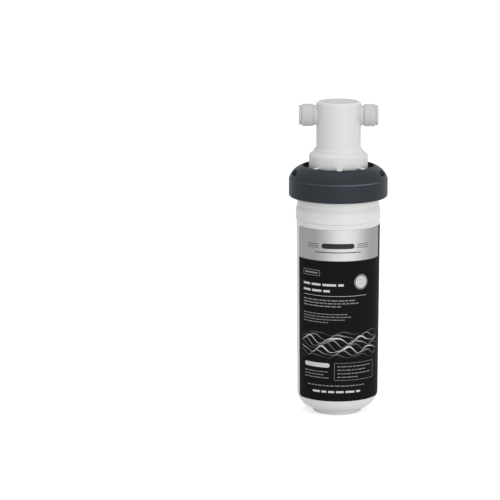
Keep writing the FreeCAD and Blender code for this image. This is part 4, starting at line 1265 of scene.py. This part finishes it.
@dataclass
class WrapPrint:
    """The wrap's print: rules, bars, discs and ripples, with no lettering."""

    wrap: Wrap
    chance: random.Random = field(default_factory=lambda: random.Random(11))

    def build(self) -> None:
        """Makes the print, one piece for each ink."""
        inks = {"light": INK_LIGHT, "grey": INK_GREY, "faint": INK_FAINT, "dark": INK_DARK}
        prints = [Print(f"print_{name}", ink, self.wrap) for name, ink in inks.items()]
        light, grey, faint, dark = prints
        self._heading(dark)
        self._upper(light, grey, dark)
        self._ripples(light, grey, faint)
        self._footer(light, grey)
        self._back(light, grey, faint)
        for made in prints:
            made.piece.done()

    def _lines(
        self, ink: Print, left: float, top: float, pitch: float, height: float, rooms: Iterable[float]
    ) -> None:
        """Adds a paragraph.

        Args:
            ink: The print to add to.
            left: Where its lines start.
            top: Height of the first line.
            pitch: Distance from line to line.
            height: Height of the bars.
            rooms: The length of each line.
        """
        for line, room in enumerate(rooms):
            ink.words(left, top - pitch * line, room, height, self.chance)

    def _heading(self, dark: Print) -> None:
        """Puts a plain mark of bars on the silver panel."""
        up = 181.5
        dark.bar(-17.0, up, 34.0, 5.4, rounded=True)
        for left in (-33.0, 20.0):
            for offset in (-1.9, 0.0, 1.9):
                dark.bar(left, up + offset, 13.0, 0.55)
        dark.bar(-24.0, up - 6.6, 48.0, 0.9)

    def _upper(self, light: Print, grey: Print, dark: Print) -> None:
        """Puts the heading lines, a disc and paragraphs on the upper black panel."""
        left = -40.0
        grey.frame(left, 150.2, 21.0, 5.6, 0.5)
        grey.bar(left + 2.2, 153.0, 16.6, 1.5)
        self._lines(light, left, 141.0, 6.4, 2.3, (46.0, 34.0))
        light.bar(left, 129.4, 72.0, 0.35)
        self._lines(grey, left, 124.8, 3.1, 1.15, (58.0, 62.0, 44.0))
        self._lines(grey, left, 110.4, 2.9, 0.85, (50.0, 54.0, 49.0, 30.0))
        along, up = 25.0, 143.5
        for step in range(14):
            light.ring(along, up, max(6.2 - step * 0.45, 0.3), 0.5)
        light.ring(along, up, 7.5, 0.4)
        for offset in (-2.2, 0.0, 2.2):
            dark.bar(along - 3.0, up + offset, 6.0, 0.7)

    def _ripples(self, light: Print, grey: Print, faint: Print) -> None:
        """Puts a band of drawn ripples across the lower front."""
        inks = (faint, grey, light, grey, faint, light, grey, faint)
        for index, ink in enumerate(inks):
            share = index / (len(inks) - 1)
            arch = sin(pi * share)
            up, swell, length = 90.0 - 24.0 * share, 1.6 + 1.8 * arch, 31.0 - 6.0 * share
            ink.wave((-43.0, 49.0), up, swell, length, 1.1 * index, 1.0 + 0.9 * arch)

    def _footer(self, light: Print, grey: Print) -> None:
        """Puts a bar, a ruled box and the closing lines below the ripples."""
        light.bar(-38.0, 56.5, 30.0, 4.6, rounded=True)
        grey.frame(-3.0, 41.0, 46.0, 18.0, 0.4)
        self._lines(grey, 0.0, 55.4, 3.7, 0.9, (38.0, 33.0, 40.0, 24.0))
        self._lines(grey, -38.0, 49.6, 3.2, 0.85, (28.0, 24.0, 30.0))
        self._lines(grey, -34.0, 35.0, 0.0, 0.95, (66.0,))
        self._lines(light, -27.0, 28.6, 0.0, 2.1, (52.0,))

    def _back(self, light: Print, grey: Print, faint: Print) -> None:
        """Puts paragraphs, a ruled table and a row of rings on the side and back."""
        left = 62.0
        self._lines(light, left, 186.0, 0.0, 2.0, (52.0,))
        light.bar(left, 181.6, 84.0, 0.35)
        for block, (top, lines) in enumerate(((176.0, 6), (153.0, 5), (133.0, 7))):
            self._lines(light, left, top, 0.0, 1.2, (30.0 + 6.0 * block,))
            self._lines(grey, left, top - 3.4, 2.6, 0.8, [84.0] * (lines - 1) + [47.0])
        for along in (left + 7.0, left + 24.0, left + 41.0):
            grey.ring(along, 98.0, 5.6, 0.5)
            faint.ring(along, 98.0, 3.4, 1.6)
        grey.frame(left, 44.0, 84.0, 40.0, 0.4)
        for row in range(1, 8):
            faint.bar(left + 0.4, 44.0 + 5.0 * row, 83.2, 0.3)
        for row in range(8):
            self._lines(grey, left + 3.0, 46.5 + 5.0 * row, 0.0, 0.95, (26.0,))
            self._lines(grey, left + 40.0, 46.5 + 5.0 * row, 0.0, 0.95, (38.0,))
        self._lines(light, left, 36.0, 0.0, 1.1, (60.0,))
        self._lines(grey, left, 31.5, 0.0, 0.8, (78.0,))


# Collar


@dataclass
class LockingCollar:
    """The dark twist collar with its shoulder pockets, bayonet ramps and entry notches.

    The angles are in degrees about Z from +X.
    """

    radius: float = boxed("locking_collar", 1, "x")
    base: float = boxed("locking_collar", 0, "z")
    lip_top: float = boxed("locking_collar", 1, "z")
    bottom_round: float = 2.5 * MM
    wall_height: float = 16.4 * MM
    shoulder_curve: float = 21.5 * MM
    crease_ease: float = 0.5 * MM
    opening: float = 36.9 * MM
    lip_height: float = 4.0 * MM
    bore: float = 41.2 * MM
    neck_bore: float = 42.75 * MM
    bore_edge: float = 0.4 * MM
    wall: float = 3.0 * MM
    floor_height: float = 3.5 * MM
    cavity_height: float = 13.5 * MM
    cavity_slope: float = 2.5 * MM
    drop: float = 6.0 * MM
    twist: float = 90.0
    thread_pitch: float = 120.0
    section_pitch: float = 1.5
    lug_half: float = 11.0
    notch_margin: float = 3.0
    stop_gap: float = 2.0
    stop_width: float = 3.0
    stop_top: float = 12.0 * MM
    notch_radius: float = 47.15 * MM
    pocket_inner: float = 44.4 * MM
    pocket_rim: float = 2.55 * MM
    pocket_drop: float = 11.7 * MM
    pocket_half: float = 6.5
    pocket_pitch: float = 17.0
    pocket_draft: float = 0.45 * MM

    @property
    def crease(self) -> Point:
        """The radius and height at which the shoulder starts."""
        return (self.radius, self.base + self.bottom_round + self.wall_height)

    def build(self) -> None:
        """Makes the collar as one ring of sections that differ with the angle."""
        piece = Piece("twist_collar", Body.COLLAR, Slot.COLLAR, [COLLAR_SLATE], ["locking_collar"])
        rows = []
        for bearing in self._bearings():
            angle = radians(bearing)
            rows.append([piece.mesh.verts.new(about_z(*point, angle)) for point in self._section(bearing)])
        fill(piece.mesh, rows, True)
        piece.done()

    def _bearings(self) -> list[float]:
        """The angles of the sections, close together at the edges of pockets, ramps and notches."""
        marks = [self.section_pitch * step for step in range(round(360.0 / self.section_pitch))]
        for middle in self._pocket_middles():
            for edge in (middle - self.pocket_half, middle + self.pocket_half):
                marks += [edge + 0.12 * step for step in range(-6, 7)]
        for turn in (0.0, self.thread_pitch, 2.0 * self.thread_pitch):
            for edge in (
                -self.lug_half - self.stop_gap - self.stop_width,
                -self.lug_half - self.stop_gap,
                self.twist - self.lug_half - self.notch_margin,
                self.twist + self.lug_half + self.notch_margin,
            ):
                marks += [turn + edge + offset for offset in (-0.06, 0.06)]
        return sorted({round(mark % 360.0, 3) for mark in marks})

    def _pocket_middles(self) -> list[float]:
        """The angles of the six grip pockets."""
        return [side + self.pocket_pitch * place for side in (0.0, 180.0) for place in (-1, 0, 1)]

    def _pocket(self, radius: float, bearing: float) -> float:
        """How deep in a pocket a place of the shoulder is, from 0 outside to 1 at its floor."""
        draft = degrees(self.pocket_draft / radius)
        away = min(abs((bearing - middle + 180.0) % 360.0 - 180.0) for middle in self._pocket_middles())
        share = 1.0 - smooth_step(self.pocket_half - draft, self.pocket_half + draft, away)
        inner, outer = (
            smooth_step(edge - self.pocket_draft, edge + self.pocket_draft, radius)
            for edge in (self.pocket_inner, self.radius - self.pocket_rim)
        )
        return share * inner * (1.0 - outer)

    def _cavity_floor(self, bearing: float) -> float:
        """Height of the bayonet's floor: ramp, stop or plain floor between them."""
        plain = self.base + self.floor_height
        stop_end = -self.lug_half - self.stop_gap
        stop_start = stop_end - self.stop_width
        local = (bearing - stop_start) % self.thread_pitch + stop_start
        if local < stop_end:
            return plain + self.stop_top - self.floor_height / 2.0
        if local < self.twist - self.lug_half - self.notch_margin:
            return plain + self.drop * (1.0 - local / self.twist)
        return plain

    def _neck_radius(self, bearing: float) -> float:
        """Radius of the opening below: the neck's bore, or wider at the three entry notches."""
        half_pitch = self.thread_pitch / 2.0
        away = abs((bearing - self.twist + half_pitch) % self.thread_pitch - half_pitch)
        return self.notch_radius if away < self.lug_half + self.notch_margin else self.neck_bore

    def _section(self, bearing: float) -> list[Point]:
        """The collar's section at an angle, always with the same number of points.

        Args:
            bearing: The angle.

        Returns:
            The section's points as (radius, height).
        """
        neck = self._neck_radius(bearing)
        inner_wall = self.radius - self.wall
        floor_edge = max(neck, self.neck_bore + self.bore_edge)
        plain = self.base + self.floor_height
        floor = self._cavity_floor(bearing)
        cavity = plain + self.cavity_height
        lip_base = self.lip_top - self.lip_height
        outside = trace(
            (
                (self.notch_radius + self.bore_edge, self.base),
                (self.radius - self.bottom_round, self.base),
                (self.radius, self.base + self.bottom_round, 0.0, self.bottom_round),
                (*self.crease, self.crease_ease),
                (self.opening, self.lip_top, 0.5 * MM, self.shoulder_curve),
                (self.opening, lip_base, 0.5 * MM),
                (self.bore, lip_base),
            ),
            closed=False,
        )
        pocket_floor = self.lip_top - self.pocket_drop
        carved = []
        for radius, height in self._dense_shoulder(outside):
            share = self._pocket(radius, bearing) if height > self.crease[1] else 0.0
            carved.append((radius, height - (height - pocket_floor) * share))
        return [
            (neck, self.base + self.bore_edge),
            (neck + self.bore_edge if neck < self.notch_radius else neck, self.base),
            *carved,
            (self.bore, cavity + self.cavity_slope),
            (inner_wall, cavity),
            (inner_wall, floor),
            (floor_edge, floor),
            (floor_edge, plain),
            (neck, plain),
        ]

    def _dense_shoulder(self, points: Sequence[Point]) -> list[Point]:
        """Adds points to the shoulder at the inner and outer edges of the pockets.

        Args:
            points: The section's outer points, up one side.

        Returns:
            The points with the extra ones, in order.
        """
        edges = (self.pocket_inner, self.radius - self.pocket_rim)
        wanted = [edge + self.pocket_draft * step / 3.0 for edge in edges for step in range(-4, 5)]
        dense: list[Point] = [points[0]]
        for before, after in zip(points, points[1:]):
            if before[1] >= self.crease[1] - 1e-6 and after[1] > before[1]:
                inside = [radius for radius in wanted if after[0] < radius < before[0]]
                shares = sorted((before[0] - radius) / (before[0] - after[0]) for radius in inside)
                dense += [between(before, after, share) for share in shares]
            dense.append(after)
        return dense


# Head


@dataclass
class HeadBody:
    """The white head: tower, stepped flange, port stubs, front pointer and stop tabs."""

    collar: LockingCollar
    base: float = boxed("head_body", 0, "z")
    top: float = boxed("head_body", 1, "z")
    bearing_radius: float = boxed("head_body", 1, "x")
    bearing_height: float = 5.0 * MM
    flange_radius: float = 30.3 * MM
    flange_height: float = 16.6 * MM
    shoulder_height: float = 3.9 * MM
    step_radius: float = 25.3 * MM
    step_height: float = 1.4 * MM
    flare_height: float = 2.6 * MM
    tower_radius: float = 22.85 * MM
    tower_round: float = 2.5 * MM
    edge: float = 0.5 * MM
    small_edge: float = 0.35 * MM
    socket_edge: float = 0.8 * MM
    flange_edge: float = 0.55 * MM
    flare_ease: float = 0.6 * MM
    cap_bore: float = 19.85 * MM
    cap_seat: float = 4.5 * MM
    chamber_radius: float = 18.75 * MM
    chamber_floor: float = 280.5 * MM
    socket_radius: float = 17.5 * MM
    socket_top: float = 276.5 * MM
    port_drop: float = 14.2 * MM
    stub_radius: float = 10.3 * MM
    stub_end: float = 26.05 * MM
    stub_steps: int = 96
    stub_edge: float = 0.4 * MM
    spigot_radius: float = 8.2 * MM
    spigot_end: float = 29.05 * MM
    tube_radius: float = 4.85 * MM
    tube_stop: float = 21.0 * MM
    passage_radius: float = 3.395 * MM
    root_depth: float = 1.0 * MM
    stub_fillet: float = 1.3 * MM
    fillet_steps: int = 6
    stub_sink: float = 0.15 * MM
    ridge: float = 0.22 * MM
    ridge_half: float = 0.5 * MM
    pointer_half: float = 3.2 * MM
    pointer_reach: float = 38.8 * MM
    tab_half: float = 2.2 * MM
    tab_reach: float = 38.0 * MM
    tab_nose: float = 0.7 * MM
    tab_angle: float = radians(41.0)
    finger_height: float = 0.4 * MM
    finger_turn: float = radians(1.8)
    finger_tip: float = 0.12 * MM
    turning_gap: float = 0.2 * MM
    gate_radius: float = 1.6 * MM
    gate_drop: float = 2.5 * MM

    @property
    def port_height(self) -> float:
        """Height of the ports' axis."""
        return self.top - self.port_drop

    def build(self) -> None:
        """Makes the head body."""
        # The second finish is the head's white painted darker, as painted shade on the port stubs.
        piece = Piece("head_casting", Body.HEAD, Slot.HEAD, [HEAD_WHITE, HEAD_PAINTED_SHADE], ["head_body"])
        self._tower(piece)
        for side in Side:
            self._stub(piece.mesh, side)
        front = self.finger_turn + FRONT
        self._finger(piece.mesh, front, self.pointer_half, self.pointer_reach, self.pointer_half)
        for turn in (-self.tab_angle, self.tab_angle, pi - self.tab_angle, pi + self.tab_angle):
            self._finger(piece.mesh, front + turn, self.tab_half, self.tab_reach, self.tab_nose)
        self._gate(piece.mesh)
        piece.done()

    def _tower(self, piece: Piece) -> None:
        """Adds the turned body, from the cartridge's socket to the seat of the cap."""
        bearing_top = self.base + self.bearing_height
        flange_top = bearing_top + self.flange_height
        step_base = flange_top + self.shoulder_height
        step_top = step_base + self.step_height
        tower_base = step_top + self.flare_height
        seat = self.top - self.cap_seat
        piece.upright(
            (self.socket_radius, self.base, self.socket_edge),
            (self.bearing_radius, self.base, self.edge),
            (self.bearing_radius, bearing_top, self.edge),
            (self.flange_radius, bearing_top),
            (self.flange_radius, flange_top, self.flange_edge),
            (self.step_radius, step_base, self.small_edge),
            (self.step_radius, step_top, self.small_edge),
            (self.tower_radius, tower_base, self.flare_ease),
            (self.tower_radius, self.top - self.tower_round),
            (self.tower_radius - self.tower_round, self.top, 0.0, self.tower_round),
            (self.cap_bore, self.top, self.small_edge),
            (self.cap_bore, seat),
            (self.chamber_radius, seat),
            (self.chamber_radius, self.chamber_floor),
            (self.tube_radius, self.chamber_floor),
            (self.tube_radius, self.socket_top),
            (self.socket_radius, self.socket_top),
        )

    def _stub(self, mesh: Mesh, side: Side) -> None:
        """Adds one port stub that flares where it meets the tower, with its tube spigot.

        Args:
            mesh: The mesh to add to.
            side: The stub's side of the head.
        """
        rows = []
        for step in range(self.stub_steps):
            turn = tau * step / self.stub_steps
            radius = self.stub_radius
            radius += self.ridge * exp(-((cos(turn) * self.stub_radius / self.ridge_half) ** 2))
            row = []
            for fillet in range(self.fillet_steps + 1):
                lean = radians(90.0 * fillet / self.fillet_steps)
                reach = radius + self.stub_fillet * (1.0 - sin(lean))
                wall = half_chord(self.tower_radius, reach * sin(turn)) - self.stub_sink
                row.append((wall + self.stub_fillet * (1.0 - cos(lean)), reach))
            row += [
                (self.stub_end - self.stub_edge, radius),
                (self.stub_end - self.stub_edge * 0.3, radius - self.stub_edge * 0.3),
                (self.stub_end, radius - self.stub_edge),
                (self.stub_end, self.spigot_radius),
                (self.spigot_end, self.spigot_radius),
                (self.spigot_end, self.tube_radius),
                (self.tube_stop, self.tube_radius),
                (self.tube_stop, self.passage_radius),
                (self.chamber_radius - self.root_depth, self.passage_radius),
                (self.chamber_radius - self.root_depth, radius * 0.95),
            ]
            rows.append([mesh.verts.new(along_x(side, self.port_height, *point, turn)) for point in row])
        # The stub's faces wear the darker copy of the head's white: painted shade between the nut and the
        # tower.
        for face in fill(mesh, rows, True):
            face.material_index = 1

    def _over_collar(self, radius: float) -> float:
        """Height just clear of the collar's lip and shoulder at a radius."""
        collar = self.collar
        clear = collar.lip_top + self.turning_gap
        if radius <= collar.opening:
            return clear
        x, y = arc_centre(collar.crease, (collar.opening, collar.lip_top), collar.shoulder_curve)
        return min(clear, y + half_chord(collar.shoulder_curve + self.turning_gap, radius - x))

    def _finger(self, mesh: Mesh, angle: float, half: float, reach: float, nose: float) -> None:
        """Adds a finger that hooks over the collar's lip and shoulder.

        Args:
            mesh: The mesh to add to.
            angle: Its direction about Z.
            half: Half its width.
            reach: The radius of its tip.
            nose: How much its tip is rounded.
        """
        start = self.flange_radius - self.root_depth
        outward, across = about_z(1.0, 0.0, angle), about_z(1.0, 0.0, angle + pi / 2.0)
        tip = [0.85 + 0.15 * sin(radians(10.0 * step)) for step in range(1, 10)]
        rows = []
        for share in (0.0, 0.35, 0.7, 0.85, *tip):
            radius = start + (reach - start) * share
            width = half - nose + half_chord(nose, max(radius - (reach - nose), 0.0))
            width = max(width, self.finger_tip)
            high = self.finger_height * (1.0 - 0.45 * smooth_step(0.6, 1.0, share))
            edge = min(self.edge, width * 0.5)
            chamfer = edge * 0.3
            bevel = [(width - chamfer, high - chamfer), (width - edge, high)]
            right = [(width, 0.0), (width, high - edge), *bevel]
            left = [(-side, up) for side, up in reversed(right)]
            foot, floor = outward * radius, self._over_collar(radius)
            rows.append([])
            for side, up in (left[-1], *right, *left[:-1]):
                rows[-1].append(mesh.verts.new(foot + across * side + Vector((0.0, 0.0, floor + up))))
        fill(mesh, rows, caps=(0, -1))

    def _gate(self, mesh: Mesh) -> None:
        """Adds the small trimmed gate mark on the tower's front."""
        height = self.port_height - self.gate_drop

        def place(share: float, lift: float, turn: float) -> Vector:
            """The mark's point at a share of its radius and a lift above the tower."""
            side = self.gate_radius * share * cos(turn)
            up = height + self.gate_radius * share * sin(turn)
            return about_z(self.tower_radius + lift * MM, up, FRONT + side / self.tower_radius)

        levels = ((1.0, -0.2), (1.0, 0.06), (0.85, 0.12), (0.5, 0.10), (0.0, 0.08))
        fill(mesh, rings(mesh, 24, levels, place), caps=(0,))


@dataclass
class HeadCap:
    """The disc that closes the tower, with two screw holes and a gate mark."""

    top: float = boxed("head_cap", 1, "z")
    rim: float = boxed("head_cap", 1, "x")
    thickness: float = 4.0 * MM
    edge: float = 0.5 * MM
    small_edge: float = 0.3 * MM
    dish_radius: float = 17.9 * MM
    dish_depth: float = 0.35 * MM
    hole_spacing: float = 26.6 * MM
    hole_radius: float = 1.75 * MM
    hole_depth: float = 5.0 * MM
    hole_edge: float = 0.35 * MM
    gate_radius: float = 2.0 * MM
    gate_depth: float = 0.3 * MM

    def build(self) -> None:
        """Makes the cap: a turned rim round a flat with two drilled holes and a round gate mark."""
        # The cap wears the darker copy of the head's white: painted shade on the top disc.
        piece = Piece("tower_cap", Body.HEAD, Slot.HEAD, [HEAD_PAINTED_SHADE], ["head_cap"])
        flat = self.top - self.dish_depth
        base = self.top - self.thickness
        outline = trace(
            (
                (self.dish_radius - 0.8 * MM, flat),
                (self.dish_radius, flat, self.small_edge),
                (self.dish_radius + 0.5 * MM, self.top, self.small_edge),
                (self.rim, self.top, self.edge),
                (self.rim, base, self.small_edge),
                (self.rim - 1.0 * MM, base),
            ),
            closed=False,
        )
        hole, gate = self.hole_radius, self.gate_radius
        drilled = (
            (hole + self.hole_edge, flat),
            (hole + self.hole_edge * 0.3, flat - self.hole_edge * 0.3),
            (hole, flat - self.hole_edge),
            (hole, flat - self.hole_depth * 0.7),
            (hole * 0.2, flat - self.hole_depth * 0.75),
        )
        sunk = (
            (gate + 0.25 * MM, flat),
            (gate, flat - self.gate_depth),
            (gate * 0.45, flat - self.gate_depth),
            (gate * 0.35, flat - self.gate_depth * 0.3),
        )
        edges = self._dished(piece.mesh, outline, 160, 0.0)
        for side in (-1, 1):
            edges += self._dished(piece.mesh, drilled, 40, side * self.hole_spacing / 2.0)
        edges += self._dished(piece.mesh, sunk, 48, 0.0)
        bmesh.ops.triangle_fill(piece.mesh, use_beauty=True, use_dissolve=False, edges=edges)
        piece.done()

    @staticmethod
    def _dished(mesh: Mesh, levels: Iterable[Point], steps: int, across: float) -> list[bmesh.types.BMEdge]:
        """Adds a turned shape that is closed at its last level.

        Args:
            mesh: The mesh to add to.
            levels: Its radii and heights.
            steps: How many sides it has.
            across: Where its axis is along X.

        Returns:
            The edges of its open first ring.
        """

        def place(radius: float, height: float, turn: float) -> Point3:
            """The point at a radius, a height and an angle about the shape's axis."""
            return (across + radius * cos(turn), radius * sin(turn), height)

        rows = rings(mesh, steps, levels, place)
        fill(mesh, rows, caps=(-1,))
        mouth = rows[0]
        found = []
        for index, vertex in enumerate(mouth):
            other = mouth[(index + 1) % len(mouth)]
            found += [edge for edge in vertex.link_edges if other in edge.verts]
        return found


@dataclass
class PortFitting:
    """One push-fit port: the nut on its stub and the release collet in its mouth."""

    side: Side
    axis_height: float
    nut_start: float = 26.1 * MM
    nut_end: float = 37.6 * MM
    nut_radius: float = 11.5 * MM
    nut_round: float = 0.9 * MM
    nut_edge: float = 0.4 * MM
    groove_back: float = 2.4 * MM
    groove_half: float = 0.25 * MM
    groove_depth: float = 0.12 * MM
    mouth_start: float = 35.2 * MM
    mouth_end: float = 36.35 * MM
    mouth_radius: float = 6.4 * MM
    recess_radius: float = 10.2 * MM
    pocket_radius: float = 7.3 * MM
    pocket_start: float = 29.1 * MM
    seat_radius: float = 8.25 * MM
    collet_end: float = 40.7 * MM
    collet_rim: float = 0.35 * MM
    collet_flange_start: float = 38.65 * MM
    hub_start: float = 37.4 * MM
    hub_radius: float = 10.0 * MM
    collet_radius: float = 10.2 * MM
    sleeve_radius: float = 6.25 * MM
    barb_start: float = 33.5 * MM
    barb_end: float = 35.0 * MM
    barb_radius: float = 7.0 * MM
    bore: float = 4.85 * MM

    def build(self) -> None:
        """Makes the nut and the collet."""
        self._nut()
        self._collet()

    def _nut(self) -> None:
        """Makes the nut, with a shallow groove behind its mouth."""
        word = self.side.word
        piece = Piece(f"{word}_nut", Body.HEAD, Slot.PORT, [PORT_WHITE], [f"{word}_port_nut"])
        groove = self.nut_end - self.groove_back
        tight = 0.1 * MM
        piece.level(
            (self.nut_start, self.seat_radius),
            (self.pocket_start, self.seat_radius),
            (self.pocket_start, self.pocket_radius),
            (self.mouth_start, self.pocket_radius),
            (self.mouth_start, self.mouth_radius, tight),
            (self.mouth_end, self.mouth_radius, tight),
            (self.mouth_end, self.recess_radius),
            (self.nut_end, self.recess_radius, 0.15 * MM),
            (self.nut_end, self.nut_radius - self.nut_edge, 0.3 * MM),
            (self.nut_end - self.nut_round, self.nut_radius, 0.5 * MM),
            (groove + self.groove_half, self.nut_radius, tight),
            (groove, self.nut_radius - self.groove_depth, tight),
            (groove - self.groove_half, self.nut_radius, tight),
            (self.nut_start, self.nut_radius, self.nut_round),
            height=self.axis_height,
            side=self.side,
        )
        piece.done()

    def _collet(self) -> None:
        """Makes the release collet: its thumb flange, sleeve, barb and bore."""
        word = self.side.word
        name, stands_for = f"{word}_release_collet", [f"{word}_collet"]
        piece = Piece(name, self.side.release, Slot.PORT, [PORT_WHITE], stands_for)
        face = self.collet_end - self.collet_rim
        tight, eased = 0.1 * MM, 0.3 * MM
        piece.level(
            (self.barb_start, self.bore),
            (self.collet_end - 0.5 * MM, self.bore, tight),
            (face, self.bore + 0.6 * MM, 0.2 * MM),
            (face, self.collet_radius - 1.8 * MM, eased),
            (self.collet_end, self.collet_radius - 1.4 * MM, eased),
            (self.collet_end, self.collet_radius - 0.5 * MM, eased),
            (self.collet_end - 0.6 * MM, self.collet_radius, 0.4 * MM),
            (self.collet_flange_start, self.collet_radius, eased),
            (self.collet_flange_start, self.hub_radius, 0.05 * MM),
            (self.hub_start, self.hub_radius, tight),
            (self.hub_start, self.sleeve_radius, tight),
            (self.barb_end, self.sleeve_radius),
            (self.barb_end, self.barb_radius, 0.2 * MM),
            (self.barb_start, self.barb_radius - 0.4 * MM, 0.2 * MM),
            height=self.axis_height,
            side=self.side,
        )
        piece.done()


@dataclass
class BearingWasher:
    """The black washer in the gap between the flange and the collar's lip. Its black is partly the washer's
    own colour and partly painted shade for the deep gap.
    """

    inner: float = 30.35 * MM
    outer: float = boxed("collar_bearing_ring", 1, "x")
    low: float = boxed("collar_bearing_ring", 0, "z")
    high: float = boxed("collar_bearing_ring", 1, "z")
    easing: float = 0.3 * MM

    def build(self) -> None:
        """Makes the washer."""
        piece = Piece("bearing_washer", Body.HEAD, Slot.WASHER, [WASHER_BLACK_AND_SHADE], ["collar_bearing_ring"])
        piece.upright(
            (self.inner, self.low, self.easing),
            (self.outer, self.low, self.easing),
            (self.outer, self.high, self.easing),
            (self.inner, self.high, self.easing),
            segments=192,
        )
        piece.done()


@dataclass
class InnerParts:
    """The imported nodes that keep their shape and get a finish."""

    rubber: str = "spigot_seal nipple_seals element_pad element_seal valve_pad"
    white: str = "element_bottom_cap element_top_cap element_core valve_ring"
    steel: str = "spring_retainer valve_spring"
    carbon: str = "carbon_block"
    cloth: str = "membrane_sleeve prefilter_wrap"

    def dress(self, nodes: dict[str, bpy.types.Object]) -> None:
        """Gives each inner node its finish.

        Args:
            nodes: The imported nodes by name.
        """
        wears = [
            (self.rubber, RUBBER_BLACK),
            (self.white, INNER_WHITE),
            (self.steel, SPRING_STEEL),
            (self.carbon, CARBON_BLACK),
            (self.cloth, CLOTH_WHITE),
        ]
        for side in Side:
            wears.append((f"{side.word}_tube_seal", RUBBER_BLACK))
            wears.append((f"{side.word}_seal_spacer", INNER_WHITE))
            wears.append((f"{side.word}_grip_ring", SPRING_STEEL))
        for names, finish in wears:
            for name in names.split():
                nodes[name].data.materials.clear()
                nodes[name].data.materials.append(finish.material())
                log.info("%s wears %s", name, finish.name)


def main() -> None:
    """Builds the filter's looks and the studio round it."""
    logging.basicConfig(level=logging.INFO, format="%(message)s")
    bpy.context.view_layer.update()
    shell = CartridgeShell()
    wrap = Wrap(shell)
    collar = LockingCollar()
    head = HeadBody(collar)
    for piece in (shell, CartridgeEndCap(shell), wrap, WrapPrint(wrap), collar, head, HeadCap()):
        piece.build()
    for side in Side:
        PortFitting(side, head.port_height).build()
    BearingWasher().build()
    InnerParts().dress(frame["nodes"])
    Studio().build()


if __name__ == "__main__":
    main()
